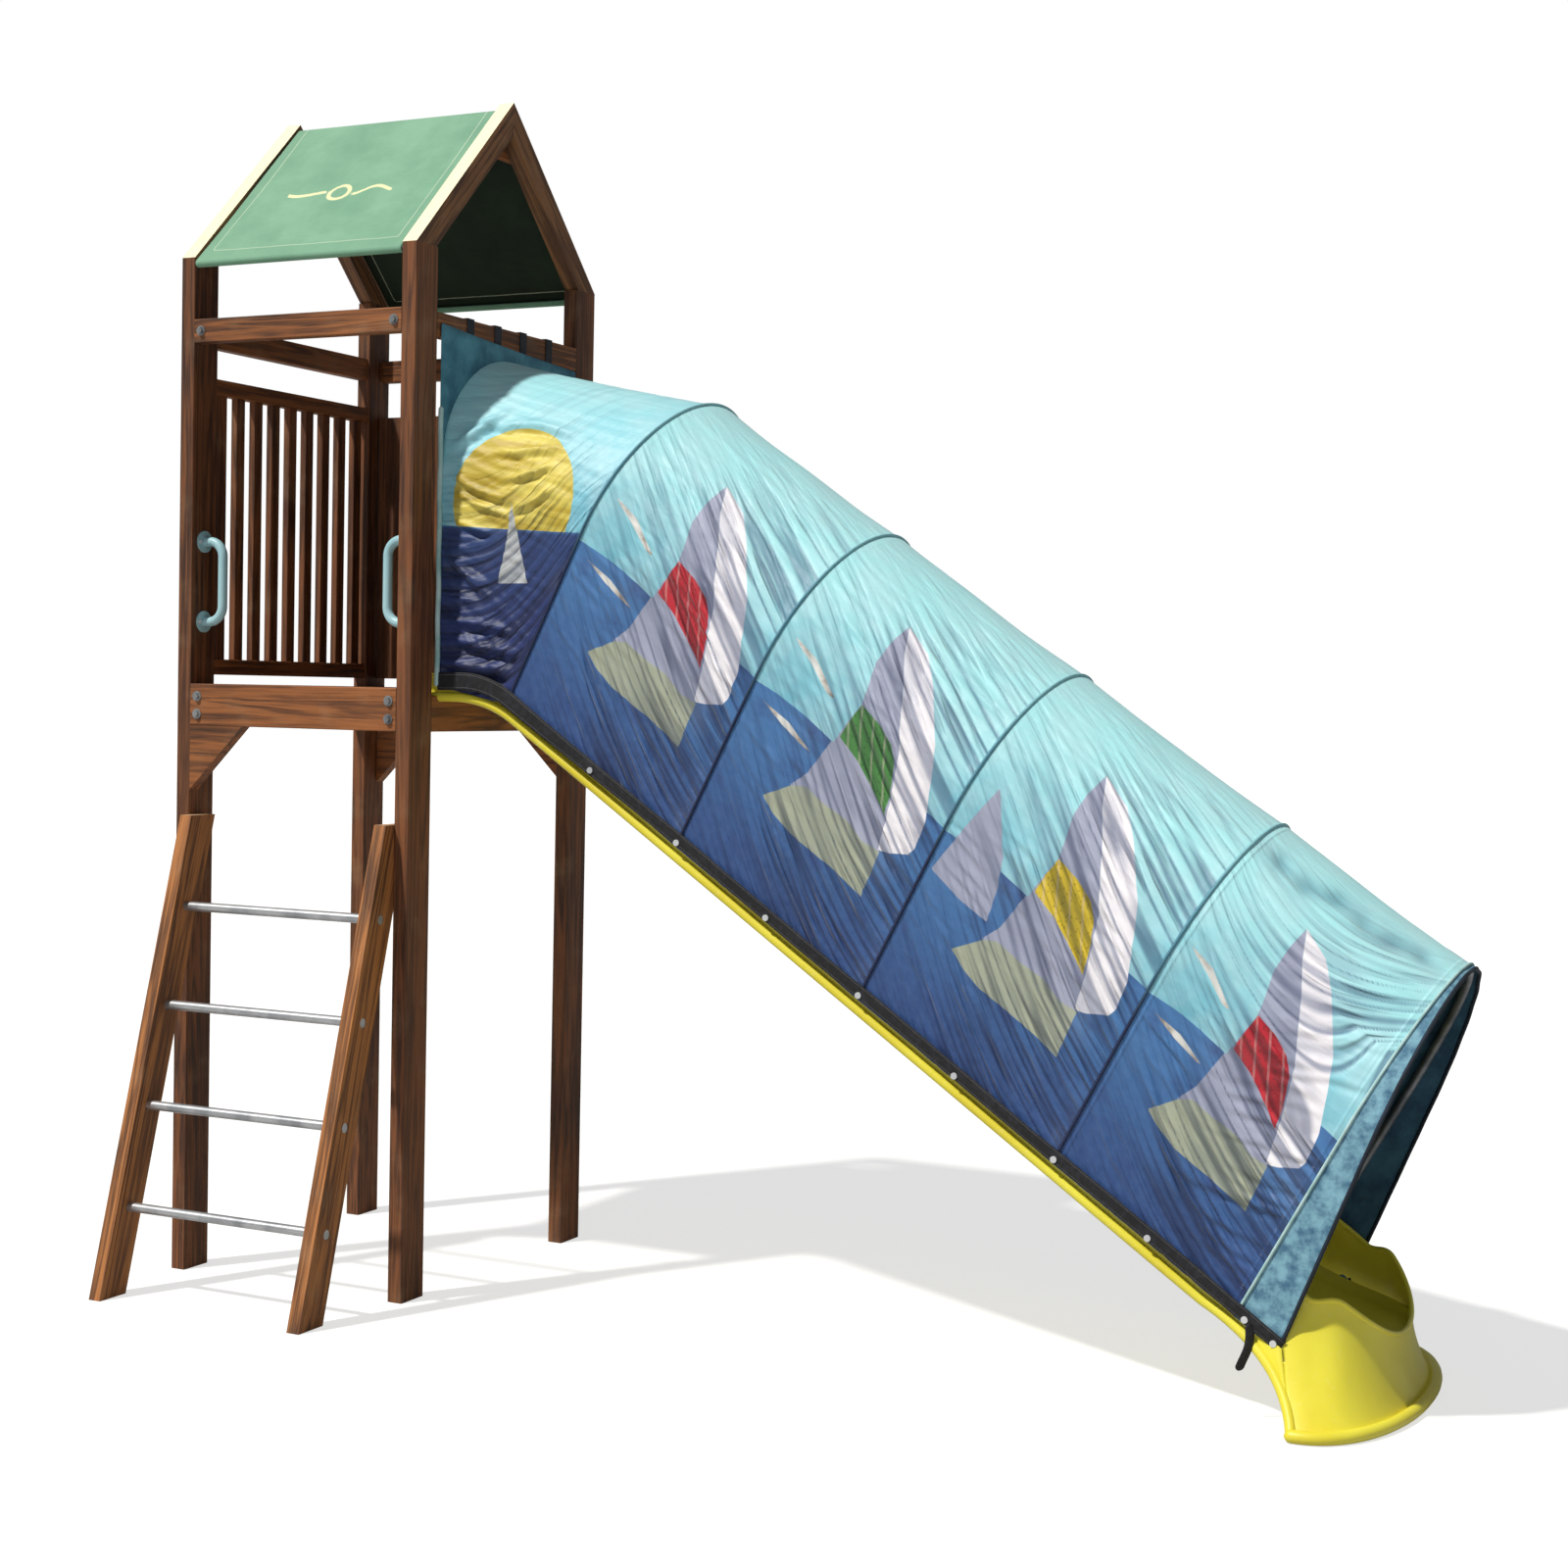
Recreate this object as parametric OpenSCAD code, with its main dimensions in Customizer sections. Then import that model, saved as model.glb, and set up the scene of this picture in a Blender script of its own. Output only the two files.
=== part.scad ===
// Timber play tower with a ladder, a canvas roof, a straight plastic slide and a hooped
// fabric tunnel over the slide. X runs down the slide, Y runs from the ladder side to the
// back, Z is up. The ground is z = 0 and the origin is under the middle of the whole part.

/* [Tower] */
// Height of the four posts
post_h = 2600; // [2200:10:2900]
// Post size along the slide
post_w = 42; // [36:1:60]
// Post size across the slide
post_d = 94; // [70:1:110]
// Tower size along the slide, over the posts
tower_w = 720; // [600:10:900]
// Tower size across the slide, over the posts
tower_d = 848; // [780:10:1000]
// Rounding of the timber's long edges
edge_r = 3; // [1:0.5:5]
// Leg of the triangular corner boards under the deck
gusset_leg = 165; // [120:5:220]
// Thickness of the triangular corner boards
gusset_t = 34; // [20:1:42]

/* [Deck] */
// Height of the deck's walking surface
deck_z = 1516; // [1200:1:1700]
// Depth of the deck beams
beam_h = 107; // [80:1:140]
// Thickness of the deck beams and of the rails
beam_t = 34; // [24:1:42]
// Thickness of the deck boards
board_t = 18; // [15:1:25]
// Number of deck boards
deck_count = 6; // [4:1:8]
// Gap between two deck boards
deck_gap = 4; // [3:1:8]
// Height and thickness of the ledgers under the boards
ledger = 40; // [30:1:50]

/* [Rails and panels] */
// Height of the guard rails' underside
guard_z = 2383; // [2000:1:2450]
// Depth of the guard rails
guard_h = 60; // [45:1:90]
// Height of the fence's top edge
fence_z = 2304; // [1900:1:2340]
// Gap between the deck and the fence's bottom rail
fence_foot = 24; // [10:1:60]
// Depth of the fence's two rails
fence_rail_h = 40; // [30:1:60]
// Number of upright bars in the fence
bar_count = 9; // [5:1:11]
// Width of a fence bar
bar_w = 34; // [20:1:40]
// Thickness of a fence bar
bar_t = 20; // [15:1:30]
// Height of the back panel's top edge
panel_z = 2280; // [1900:1:2340]
// Number of upright boards in the back panel
panel_count = 6; // [4:1:8]
// Thickness of the back panel's boards
panel_t = 18; // [12:1:22]

/* [Roof] */
// Height of the gable's tip above the post tops
gable_rise = 426; // [300:2:500]
// Depth of a rafter, square to its length
rafter_h = 60; // [40:1:64]
// Thickness of the roof canvas
canvas_t = 3; // [2:0.5:5]
// Diameter of the ridge pole
ridge_pole_d = 30; // [20:1:40]
// Diameter of the two eave rods
eave_rod_d = 16; // [12:1:20]
// Thickness of the gable ties
tie_t = 20; // [15:1:30]
// Depth of the gable ties
tie_h = 62; // [40:1:80]

/* [Ladder] */
// Depth of the ladder's top below the deck's surface
ladder_top = 336; // [200:4:420]
// How far the feet stand out in front of the tower
ladder_out = 353; // [250:1:450]
// How far the rails' tops reach behind the tower's front
ladder_in = 60; // [30:1:90]
// Thickness of the ladder rails
ladder_t = 35; // [28:1:45]
// Depth of the ladder rails, measured level
ladder_d = 93; // [70:1:110]
// Height of the lowest rung
rung_z = 215; // [150:5:300]
// Depth of the highest rung below the ladder's top
rung_top = 230; // [100:5:300]
// Number of rungs
rung_count = 4; // [3:1:4]
// Diameter of the rungs
rung_d = 24; // [20:1:32]

/* [Grab handles] */
// Height of the handles' middle above the deck
handle_up = 262; // [200:1:400]
// Height of a handle, between its tube's centres
handle_h = 205; // [140:1:260]
// How far a handle's tube stands off the post
handle_out = 62; // [45:1:75]
// Diameter of a handle's tube
handle_d = 24; // [18:1:30]

/* [Slide] */
// Slope of the slide, in degrees
slope = 34.3; // [28:0.1:42]
// Distance from the tower to the point where the slope starts
slope_out = 140; // [110:5:200]
// Width of the slide over its walls
chute_w = 580; // [480:1:600]
// Thickness of the slide's plastic
chute_t = 8; // [5:1:12]
// Height of the slide's walls, square to the slope
chute_wall = 205; // [150:5:240]
// Height of the sliding surface's underside above the wall's lower edge
chute_floor = 12; // [8:1:30]
// Height of the level run-out's sliding surface
outlet_z = 170; // [130:5:220]
// Distance of the front of the run-out from the slope's point on the ground
outlet_out = 95; // [60:5:160]
// Distance of the run-out's heel from the slope's point on the ground
outlet_in = 170; // [130:5:260]
// Rounding of the run-out's two front corners, seen from above
outlet_r = 200; // [120:5:230]
// Width of the foot flange round the run-out
foot_w = 20; // [10:1:30]
// Thickness of the foot flange
foot_t = 22; // [12:1:30]

/* [Tunnel] */
// Diameter of the hoops' tube
hoop_d = 20; // [16:1:26]
// Length of a hoop's straight legs, square to the slope
hoop_leg = 500; // [400:5:600]
// How far a leg leans outwards over its length
hoop_spread = 35; // [10:1:60]
// Distance from hoop to hoop along the slope
hoop_pitch = 578; // [450:2:600]
// Distance of the last hoop's foot from the slope's point on the ground
tunnel_stop = 355.3; // [250:0.1:600]
// Distance of the first hoop's foot from the start of the slope
first_hoop = 64; // [40:2:120]
// How far a hoop's top lies behind its feet, along the slope
hoop_lean = 85; // [40:5:140]
// Thickness of the tunnel's fabric
fabric_t = 3; // [2:0.5:4]
// How far the end strip runs past the last hoop at the foot
end_strip = 115; // [80:5:160]
// How far the end strip runs past the last hoop at the top
end_strip_top = 15; // [5:5:60]
// Width of the hem bands
band_w = 45; // [35:1:60]
// Thickness of the hem bands
band_t = 3; // [2:0.5:4]
// Diameter of the studs' caps
stud_d = 15; // [10:1:20]
// Width of the straps over the guard rail
strap_w = 30; // [20:1:40]
// Thickness of the straps
strap_t = 2.5; // [1.5:0.5:4]

/* [Hidden] */
$fn = 48;

timber = "saddlebrown";
clear = 0.3;             // gap of pieces that lie against each other
big = 4000;              // reach of the cutting blocks

// Tower
in_w = tower_w - 2 * post_w;
in_d = tower_d - 2 * post_d;
mid_y = tower_d / 2;
side_top = deck_z - board_t;
bolt_d = 10;
washer_d = 26;
washer_t = 2;
head_t = 7;
bolt_deep = beam_t - 6;
ladder_h = deck_z - ladder_top;
rung_pitch = (ladder_h - rung_top - rung_z) / (rung_count - 1);

// Slide: the lower edges of its walls run level, then down the slope to the ground
lip_z = side_top;
lip_x = tower_w - 62;
turn_x = tower_w + slope_out;
ground_x = turn_x + lip_z / tan(slope);
nose_x = ground_x + outlet_out;
heel_x = ground_x - outlet_in;
turn_r = 300;            // bend at the top of the slide
runout_r = 450;          // bend of the sliding surface at the run-out
heel_r = 150;            // bend of the walls' lower edge at the heel
rim_end = outlet_z + 15;
half = chute_w / 2;

// Tunnel: leg and arch of the hoops, seen along the slope
foot_up = 23;            // height of the hoops' feet above the wall's lower edge
leg_y = half + clear + hoop_d / 2;
arch_r = leg_y + hoop_spread;
skin = hoop_d / 2 + clear;
skin_out = skin + fabric_t;
lean = atan(hoop_lean / (hoop_leg + arch_r));
entry_top = guard_z - 22;
entry_ease = 2;          // room the entry piece keeps round the first hoop
entry_x = tower_w + 2;
band_low = 13;
band_out = leg_y + skin_out + entry_ease + 1 + clear + (band_low + band_w - foot_up) * hoop_spread / hoop_leg;

// Four hoops stand at the pitch, and the last one where the tunnel stops
function hoop_s(k) = k < 4 ? first_hoop + k * hoop_pitch : lip_z / sin(slope) - tunnel_stop;

// The part's furthest reach down the slide is the tunnel's lower end at its top
reach_m = hoop_leg + arch_r;
tip_s = hoop_s(4) + end_strip - (end_strip + hoop_lean - end_strip_top) * (reach_m + skin_out) / reach_m;
tip_x = turn_x + tip_s * cos(slope) + (foot_up + reach_m + skin_out) * sin(slope);
centre_x = max(tip_x, nose_x + foot_w) / 2;
centre_y = (tower_d + washer_t + head_t - ladder_out) / 2;

// Everything is drawn from the tower's front left corner and moved here to the origin
module placed() {
    translate([-centre_x, -centre_y, 0]) children();
}

// Frame whose x runs down the slope and z stands square to it, from the slope's start
module on_slope() {
    translate([turn_x, mid_y, lip_z]) rotate([0, slope, 0]) children();
}

// A board along x with rounded long edges, from the origin
module board(l, w, h) {
    translate([0, w / 2, h / 2]) rotate([90, 0, 90]) linear_extrude(l) {
        square([w - 2 * edge_r, h], center = true);
        square([w, h - 2 * edge_r], center = true);
        for (sy = [-1, 1], sz = [-1, 1]) {
            translate([sy * (w / 2 - edge_r), sz * (h / 2 - edge_r)]) circle(edge_r);
        }
    }
}

module board_y(w, l, h) {
    translate([w, 0, 0]) rotate([0, 0, 90]) board(l, w, h);
}

module board_z(w, d, l) {
    translate([0, 0, l]) rotate([0, 90, 0]) board(l, d, w);
}

// Points of an arc, from angle a0 to a1
function arc(c, r, a0, a1, n = 10) =
    [for (i = [0:n]) c + r * [cos(a0 + (a1 - a0) * i / n), sin(a0 + (a1 - a0) * i / n)]];

// Straight line of three points p, q, r with the corner at q rounded by radius rad
function corner(p, q, r, rad, n = 10) =
    let (u = (p - q) / norm(p - q), v = (r - q) / norm(r - q))
    let (half_angle = acos(u * v) / 2)
    let (c = q + (u + v) / norm(u + v) * rad / sin(half_angle))
    let (a = q + u * rad / tan(half_angle), b = q + v * rad / tan(half_angle))
    let (a0 = atan2(a[1] - c[1], a[0] - c[0]), d = atan2(b[1] - c[1], b[0] - c[0]) - a0)
    let (turn = d > 180 ? d - 360 : (d < -180 ? d + 360 : d))
    arc(c, rad, a0, a0 + turn, n);

// ---------------------------------------------------------------- tower

module post(x, y) {
    translate([x, y, 0]) board_z(post_w, post_d, post_h);
}

module bolt_spots() {
    for (x = [post_w + 22, tower_w - post_w - 22]) {
        for (z = [deck_z - beam_h * 0.3, deck_z - beam_h * 0.72]) {
            translate([x, 0, z]) children();
            translate([x, tower_d, z]) rotate([0, 0, 180]) children();
        }
        translate([x, 0, guard_z + guard_h / 2]) children();
        translate([x, tower_d, guard_z + guard_h / 2]) rotate([0, 0, 180]) children();
    }
}

module bolt_hole() {
    rotate([-90, 0, 0]) translate([0, 0, -1]) cylinder(d = bolt_d + 2 * clear, h = bolt_deep + 1.5);
}

module bolt() {
    rotate([90, 0, 0]) {
        cylinder(d = washer_d, h = washer_t);
        translate([0, 0, washer_t]) cylinder(d = bolt_d * 1.7, h = head_t, $fn = 6);
        translate([0, 0, -bolt_deep]) cylinder(d = bolt_d, h = bolt_deep);
    }
}

module frame_bolts() {
    color("silver") placed() bolt_spots() bolt();
}

module cross_board(y, z, h) {
    difference() {
        translate([post_w, y, z]) board(in_w, beam_t, h);
        bolt_spots() bolt_hole();
    }
}

module side_board(x, z, h) {
    translate([x, post_d, z]) board_y(beam_t, in_d, h);
}

module deck_ledger(y) {
    translate([post_w + 1, y, side_top - ledger]) board(in_w - 2, ledger, ledger);
}

module deck_boards() {
    color(timber) placed() {
        span = lip_x - 2 - (post_w + 1);
        w = (span - (deck_count - 1) * deck_gap) / deck_count;
        for (i = [0:deck_count - 1]) {
            translate([post_w + 1 + i * (w + deck_gap), beam_t + 1, side_top])
                board_y(w, tower_d - 2 * beam_t - 2, board_t);
        }
    }
}

module gusset(x, y, dir) {
    translate([x, y, deck_z - beam_h]) rotate([90, 0, 0]) translate([0, 0, -gusset_t])
        linear_extrude(gusset_t)
            polygon([[0, 0], [dir * gusset_leg, 0], [dir * (gusset_leg - 14), -14],
                     [dir * 14, -gusset_leg + 14], [0, -gusset_leg]]);
}

module fence_rail(z) {
    translate([(post_w - beam_t) / 2, post_d, z]) board_y(beam_t, in_d, fence_rail_h);
}

module fence_bars() {
    color(timber) placed() {
        low = deck_z + fence_foot + fence_rail_h;
        pitch = in_d / bar_count;
        for (i = [0:bar_count - 1]) {
            translate([(post_w - bar_t) / 2, post_d + pitch * (i + 0.5) - bar_w / 2, low])
                board_z(bar_t, bar_w, fence_z - fence_rail_h - low);
        }
    }
}

module panel_boards() {
    color(timber) placed() {
        w = (in_w - 2) / panel_count - 6;
        low = deck_z + fence_foot;
        for (i = [0:panel_count - 1]) {
            translate([post_w + 4 + i * (w + 6), tower_d - beam_t - panel_t, low])
                board_z(w, panel_t, panel_z - low);
        }
    }
}

module panel_rail(z) {
    translate([post_w, tower_d - beam_t, z]) board(in_w, beam_t, fence_rail_h);
}

// ---------------------------------------------------------------- roof

roof_pitch = atan(gable_rise / mid_y);
rafter_drop = rafter_h / cos(roof_pitch);
canvas_off = 8;
canvas_drop = canvas_t / cos(roof_pitch);
ridge_z = post_h + gable_rise - canvas_off - canvas_drop - (ridge_pole_d / 2 + clear) / cos(roof_pitch);
eave_z = post_h - 15;
eave_y = (eave_z - (post_h - canvas_off - canvas_drop)) / tan(roof_pitch)
    + (eave_rod_d / 2 + clear) / sin(roof_pitch);

// Half of the gable in the y-z plane, as points (y, z) for the front half
module gable_half(x, w, back, points) {
    translate([x, back ? tower_d : 0, 0]) mirror([0, back ? 1 : 0, 0])
        rotate([90, 0, 90]) linear_extrude(w) polygon(points);
}

module rafter(x, back) {
    gable_half(x, post_w, back, [
        [0, post_h], [rafter_drop * mid_y / gable_rise, post_h],
        [mid_y, post_h + gable_rise - rafter_drop], [mid_y, post_h + gable_rise]
    ]);
}

module gable_tie(x) {
    top = post_h + gable_rise - 74;
    reach = function (z) (post_h + gable_rise - canvas_off - canvas_drop - 2 - z) * mid_y / gable_rise;
    translate([x, mid_y, 0]) rotate([90, 0, 90]) linear_extrude(tie_t) polygon([
        [-reach(top - tie_h), top - tie_h], [reach(top - tie_h), top - tie_h],
        [reach(top), top], [-reach(top), top]
    ]);
}

module eave_rod(y) {
    translate([post_w, y, eave_z]) rotate([0, 90, 0]) cylinder(d = eave_rod_d, h = in_w);
}

module roof_canvas() {
    color("darkseagreen") placed() translate([post_w + 1, 0, 0]) rotate([90, 0, 90])
        linear_extrude(in_w - 2) {
            low = 2;
            k = gable_rise / mid_y;
            up = post_h - canvas_off;
            polygon([
                [low, up + low * k], [mid_y, up + gable_rise], [tower_d - low, up + low * k],
                [tower_d - low, up + low * k - canvas_drop],
                [mid_y, up + gable_rise - canvas_drop], [low, up + low * k - canvas_drop]
            ]);
        }
}

// ---------------------------------------------------------------- ladder

ladder_run = ladder_out + ladder_in - ladder_d;
function ladder_y(z) = -ladder_out + ladder_d / 2 + z * ladder_run / ladder_h;

module ladder_bolt_spots() {
    for (z = [ladder_h - 45, ladder_h - 95]) {
        y = (ladder_y(z) + ladder_d / 2) / 2;
        translate([post_w, max(y, 16), z]) children();
        translate([tower_w - post_w, max(y, 16), z]) rotate([0, 0, 180]) children();
    }
}

module ladder_rail(x) {
    difference() {
        translate([x + ladder_t, 0, 0]) rotate([90, 0, -90]) linear_extrude(ladder_t) polygon([
            [ladder_out, 0], [ladder_out - ladder_d, 0],
            [-ladder_in, ladder_h], [-ladder_in + ladder_d, ladder_h]
        ]);
        for (i = [0:rung_count - 1]) {
            z = rung_z + i * rung_pitch;
            translate([x - 1, ladder_y(z), z]) rotate([0, 90, 0])
                cylinder(d = rung_d + 2 * clear, h = ladder_t + 2);
        }
    }
}

module ladder_rungs() {
    color("silver") placed() for (i = [0:rung_count - 1]) {
        z = rung_z + i * rung_pitch;
        translate([post_w + 2, ladder_y(z), z]) rotate([0, 90, 0])
            cylinder(d = rung_d, h = in_w - 4);
    }
}

// ---------------------------------------------------------------- handles

handle_bend = 40;
handle_y = post_d / 2;

module handle_half() {
    leg = handle_out - handle_bend;
    translate([0, 0, handle_h / 2]) rotate([0, 90, 0]) cylinder(d = handle_d, h = leg);
    translate([leg, 0, handle_h / 2 - handle_bend]) rotate([90, 0, 0])
        rotate_extrude(angle = 90) translate([handle_bend, 0]) circle(d = handle_d);
    translate([handle_out, 0, 0]) cylinder(d = handle_d, h = handle_h / 2 - handle_bend);
    translate([0, 0, handle_h / 2]) rotate([0, 90, 0]) cylinder(d = handle_d * 2.3, h = 5);
}

module handle_place(x, turned) {
    translate([x, handle_y, deck_z + handle_up]) rotate([0, 0, turned ? 180 : 0]) children();
}

module grab_handle() {
    difference() {
        union() {
            handle_half();
            mirror([0, 0, 1]) handle_half();
        }
        handle_screw_spots() cylinder(d = 5 + 2 * clear, h = 30, center = true);
    }
}

module handle_screw_spots() {
    for (z = [-1, 1], y = [-1, 1]) {
        translate([5, y * handle_d * 0.85, z * handle_h / 2]) rotate([0, 90, 0]) children();
    }
}

module handle_screw() {
    cylinder(d = 10, h = 3);
    translate([0, 0, -4.8]) cylinder(d = 5, h = 5);
}

module handle_screws() {
    color("white") placed() {
        handle_place(post_w, false) handle_screw_spots() handle_screw();
        handle_place(tower_w - post_w, true) handle_screw_spots() handle_screw();
    }
}

// ---------------------------------------------------------------- slide

function down(s, m) = [turn_x + s * cos(slope) + m * sin(slope), lip_z - s * sin(slope) + m * cos(slope)];

// Level line at height z above the lip, meeting the sloped line m above the wall's edge
function turn_at(m) = [turn_x + m * (1 - cos(slope)) / sin(slope), lip_z + m];

// Sloped line m above the wall's edge, at height z
function slope_at(m, z) = [ground_x + (m / cos(slope) - z) / tan(slope), z];

function upper_line(m) = concat(
    [[lip_x, lip_z + m]],
    corner([lip_x, lip_z + m], turn_at(m), slope_at(m, 0), turn_r)
);

function floor_line(m, z) = concat(
    upper_line(m),
    corner(turn_at(m), slope_at(m, z), slope_at(m, z) + [big, 0], runout_r),
    [[nose_x + 50, z]]
);

module wall_side() {
    heel_top = slope_at(0, 215);
    polygon(concat(
        upper_line(0),
        corner(turn_at(0), heel_top, [heel_x, 0], heel_r),
        [[heel_x, 0], [nose_x + 50, 0], [nose_x + 50, rim_end]],
        corner([nose_x + 50, rim_end], slope_at(chute_wall, rim_end), turn_at(chute_wall), 60),
        corner(slope_at(chute_wall, 0), turn_at(chute_wall), [lip_x, lip_z + chute_wall],
            turn_r + chute_wall),
        [[lip_x + 60, lip_z + chute_wall], [lip_x, lip_z + chute_wall - 60]]
    ));
}

// Plan of the slide, drawn in by an inset, with rounded front corners
module chute_plan(inset, back) {
    r = outlet_r - inset;
    front = nose_x - inset;
    h = half - inset;
    translate([0, mid_y]) {
        translate([back, -h]) square([front - r - back, 2 * h]);
        translate([back, -h + r]) square([front - back, 2 * h - 2 * r]);
        for (sy = [-1, 1]) translate([front - r, sy * (h - r)]) circle(r, $fn = 96);
    }
}

module across(w) {
    translate([0, mid_y + w / 2, 0]) rotate([90, 0, 0]) linear_extrude(w) children();
}

module slide_chute() {
    color("yellow") placed() {
        intersection() {
            across(chute_w) wall_side();
            linear_extrude(big) difference() {
                chute_plan(0, lip_x);
                chute_plan(chute_t, lip_x - 10);
            }
        }
        intersection() {
            across(chute_w - chute_t) polygon(concat(
                floor_line(chute_floor + chute_t, outlet_z),
                reversed(floor_line(chute_floor, outlet_z - chute_t))
            ));
            linear_extrude(big) chute_plan(chute_t / 2, lip_x);
        }
        linear_extrude(foot_t) difference() {
            intersection() {
                chute_plan(-foot_w, heel_x);
                translate([heel_x, 0]) square([big, big]);
            }
            chute_plan(chute_t, heel_x - 10);
        }
    }
}

function reversed(list) = [for (i = [len(list) - 1:-1:0]) list[i]];

// ---------------------------------------------------------------- tunnel

module hoop(k) {
    on_slope() translate([hoop_s(k), 0, foot_up]) rotate([0, -lean, 0]) {
        tall = hoop_leg / cos(lean);
        tilt = atan(hoop_spread / tall);
        for (sy = [-1, 1]) translate([0, sy * leg_y, 0]) rotate([-sy * tilt, 0, 0])
            cylinder(d = hoop_d, h = norm([hoop_spread, tall]));
        translate([0, 0, tall]) rotate([90, 0, 90]) rotate_extrude(angle = 180)
            translate([arch_r, 0]) circle(d = hoop_d);
    }
}

// Outline of the tunnel seen along the slope, grown by an amount over the hoops' centre line
module arch(grow, low) {
    translate([0, hoop_leg]) circle(arch_r + grow, $fn = 96);
    polygon([[-leg_y - grow, low], [leg_y + grow, low], [leg_y + grow, 0],
             [arch_r + grow, hoop_leg], [-arch_r - grow, hoop_leg], [-leg_y - grow, 0]]);
}

module arch_shell(from, to) {
    translate([from, 0, foot_up]) rotate([90, 0, 90]) linear_extrude(to - from) difference() {
        arch(skin_out, 0);
        arch(skin, -5);
    }
}

// Block between two planes that lean with the hoops
module leaning(s0, s1, top0, top1) {
    rise = 1200;
    translate([0, rise / 2, foot_up]) rotate([90, 0, 0]) linear_extrude(rise) polygon([
        [s0 + (s0 - top0) * 0.1, -reach_m * 0.1], [s1 + (s1 - top1) * 0.1, -reach_m * 0.1],
        [s1 - (s1 - top1) * rise / reach_m, rise], [s0 - (s0 - top0) * rise / reach_m, rise]
    ]);
}

module cover_bay(k) {
    on_slope() intersection() {
        arch_shell(hoop_s(k) - 200, hoop_s(k + 1) + 100);
        leaning(hoop_s(k), hoop_s(k + 1) - clear, hoop_s(k) - hoop_lean, hoop_s(k + 1) - hoop_lean - clear);
    }
}

module cover_end() {
    s = hoop_s(4);
    on_slope() intersection() {
        arch_shell(s - 200, s + 300);
        leaning(s, s + end_strip, s - hoop_lean, s - hoop_lean + end_strip_top);
    }
}

// Thin slice in the first hoop's plane and a thin slice at the tower
module entry_slices(grow) {
    low = lip_z + foot_up;
    on_slope() translate([hoop_s(0) - 1, 0, foot_up]) rotate([0, -lean, 0]) rotate([90, 0, 90])
        linear_extrude(0.5) intersection() {
            arch(grow, 0);
            translate([-big / 2, 0]) square([big, big]);
        }
    translate([entry_x, mid_y, 0]) rotate([90, 0, 90]) linear_extrude(0.5)
        translate([-leg_y - grow, low])
            square([2 * (leg_y + grow), entry_top - low - skin_out - entry_ease + grow]);
}

module entry_hollow() {
    hull() {
        translate([-2, 0, 0]) entry_slices(skin + entry_ease);
        translate([3, 0, 0]) entry_slices(skin + entry_ease);
    }
}

module cover_entry() {
    difference() {
        hull() entry_slices(skin_out + entry_ease);
        entry_hollow();
        translate([0, 0, -4]) entry_hollow();
    }
}

function band_line(m, far) = concat(
    [[entry_x + 8, lip_z + m]],
    corner([entry_x + 8, lip_z + m], turn_at(m), slope_at(m, 0), turn_r - 60),
    [down(far, m)]
);

module hem_band(side) {
    far = hoop_s(4) + end_strip;
    y = side > 0 ? mid_y + band_out + band_t : mid_y - band_out;
    difference() {
        translate([0, y, 0]) rotate([90, 0, 0]) linear_extrude(band_t)
            polygon(concat(band_line(band_low + band_w, far), reversed(band_line(band_low, far))));
        hull() entry_slices(skin_out + entry_ease + clear);
        stud_spots() cylinder(d = stud_d * 0.4 + 2 * clear, h = 12, center = true);
    }
}

function stud_s(k, f) = hoop_s(k) + f * (hoop_s(k + 1) - hoop_s(k) + (k == 3 ? 21 : 0));

// The studs stand at each hoop and half way between, and one at the lower end
module stud_spots() {
    last = hoop_s(4) + end_strip - 18;
    for (sy = [-1, 1]) {
        for (s = [for (k = [0:3], f = [0.5, 1]) stud_s(k, f), last]) {
            p = down(s, band_low + band_w / 2);
            translate([p[0], mid_y + sy * (band_out + band_t), p[1]]) rotate([-sy * 90, 0, 0]) children();
        }
    }
}

module hem_studs() {
    color("whitesmoke") placed() stud_spots() {
        cylinder(d = stud_d, h = 3);
        translate([0, 0, -band_t]) cylinder(d = stud_d * 0.4, h = band_t + 1);
    }
}

// Straps that hang the cover's mouth from the guard rail over it
module top_straps() {
    color("black") placed() for (y = [-0.62, -0.2, 0.2, 0.62]) {
        low = entry_top + clear;
        high = guard_z + guard_h + clear;
        wide = beam_t + 2 * clear;
        translate([tower_w - beam_t - clear, mid_y + y * leg_y + strap_w / 2, low])
            rotate([90, 0, 0]) linear_extrude(strap_w) difference() {
                translate([-strap_t, 0]) square([wide + 2 * strap_t, high - low + strap_t]);
                translate([0, strap_t]) square([wide, high - low - strap_t]);
            }
    }
}

// ---------------------------------------------------------------- assembly

back_y = tower_d - post_d;
right_x = tower_w - post_w;
board_line = deck_z - beam_h;

module wood() {
    color(timber) placed() children();
}

wood() post(0, 0);  // post_front_left
wood() post(right_x, 0);  // post_front_right
wood() post(0, back_y);  // post_back_left
wood() post(right_x, back_y);  // post_back_right
wood() cross_board(0, board_line, beam_h);  // deck_beam_front
wood() cross_board(tower_d - beam_t, board_line, beam_h);  // deck_beam_back
wood() side_board(0, board_line, beam_h);  // deck_beam_left
wood() side_board(tower_w - beam_t, board_line, beam_h - board_t);  // deck_beam_right
wood() deck_ledger(beam_t);  // deck_ledger_front
wood() deck_ledger(tower_d - beam_t - ledger);  // deck_ledger_back
deck_boards();
wood() gusset(post_w, 0, 1);  // gusset_front_left
wood() gusset(post_w, tower_d - gusset_t, 1);  // gusset_back_left
wood() gusset(right_x, tower_d - gusset_t, -1);  // gusset_back_right
wood() cross_board(0, guard_z, guard_h);  // guard_rail_front
wood() cross_board(tower_d - beam_t, guard_z, guard_h);  // guard_rail_back
wood() side_board(0, guard_z, guard_h);  // guard_rail_left
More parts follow.
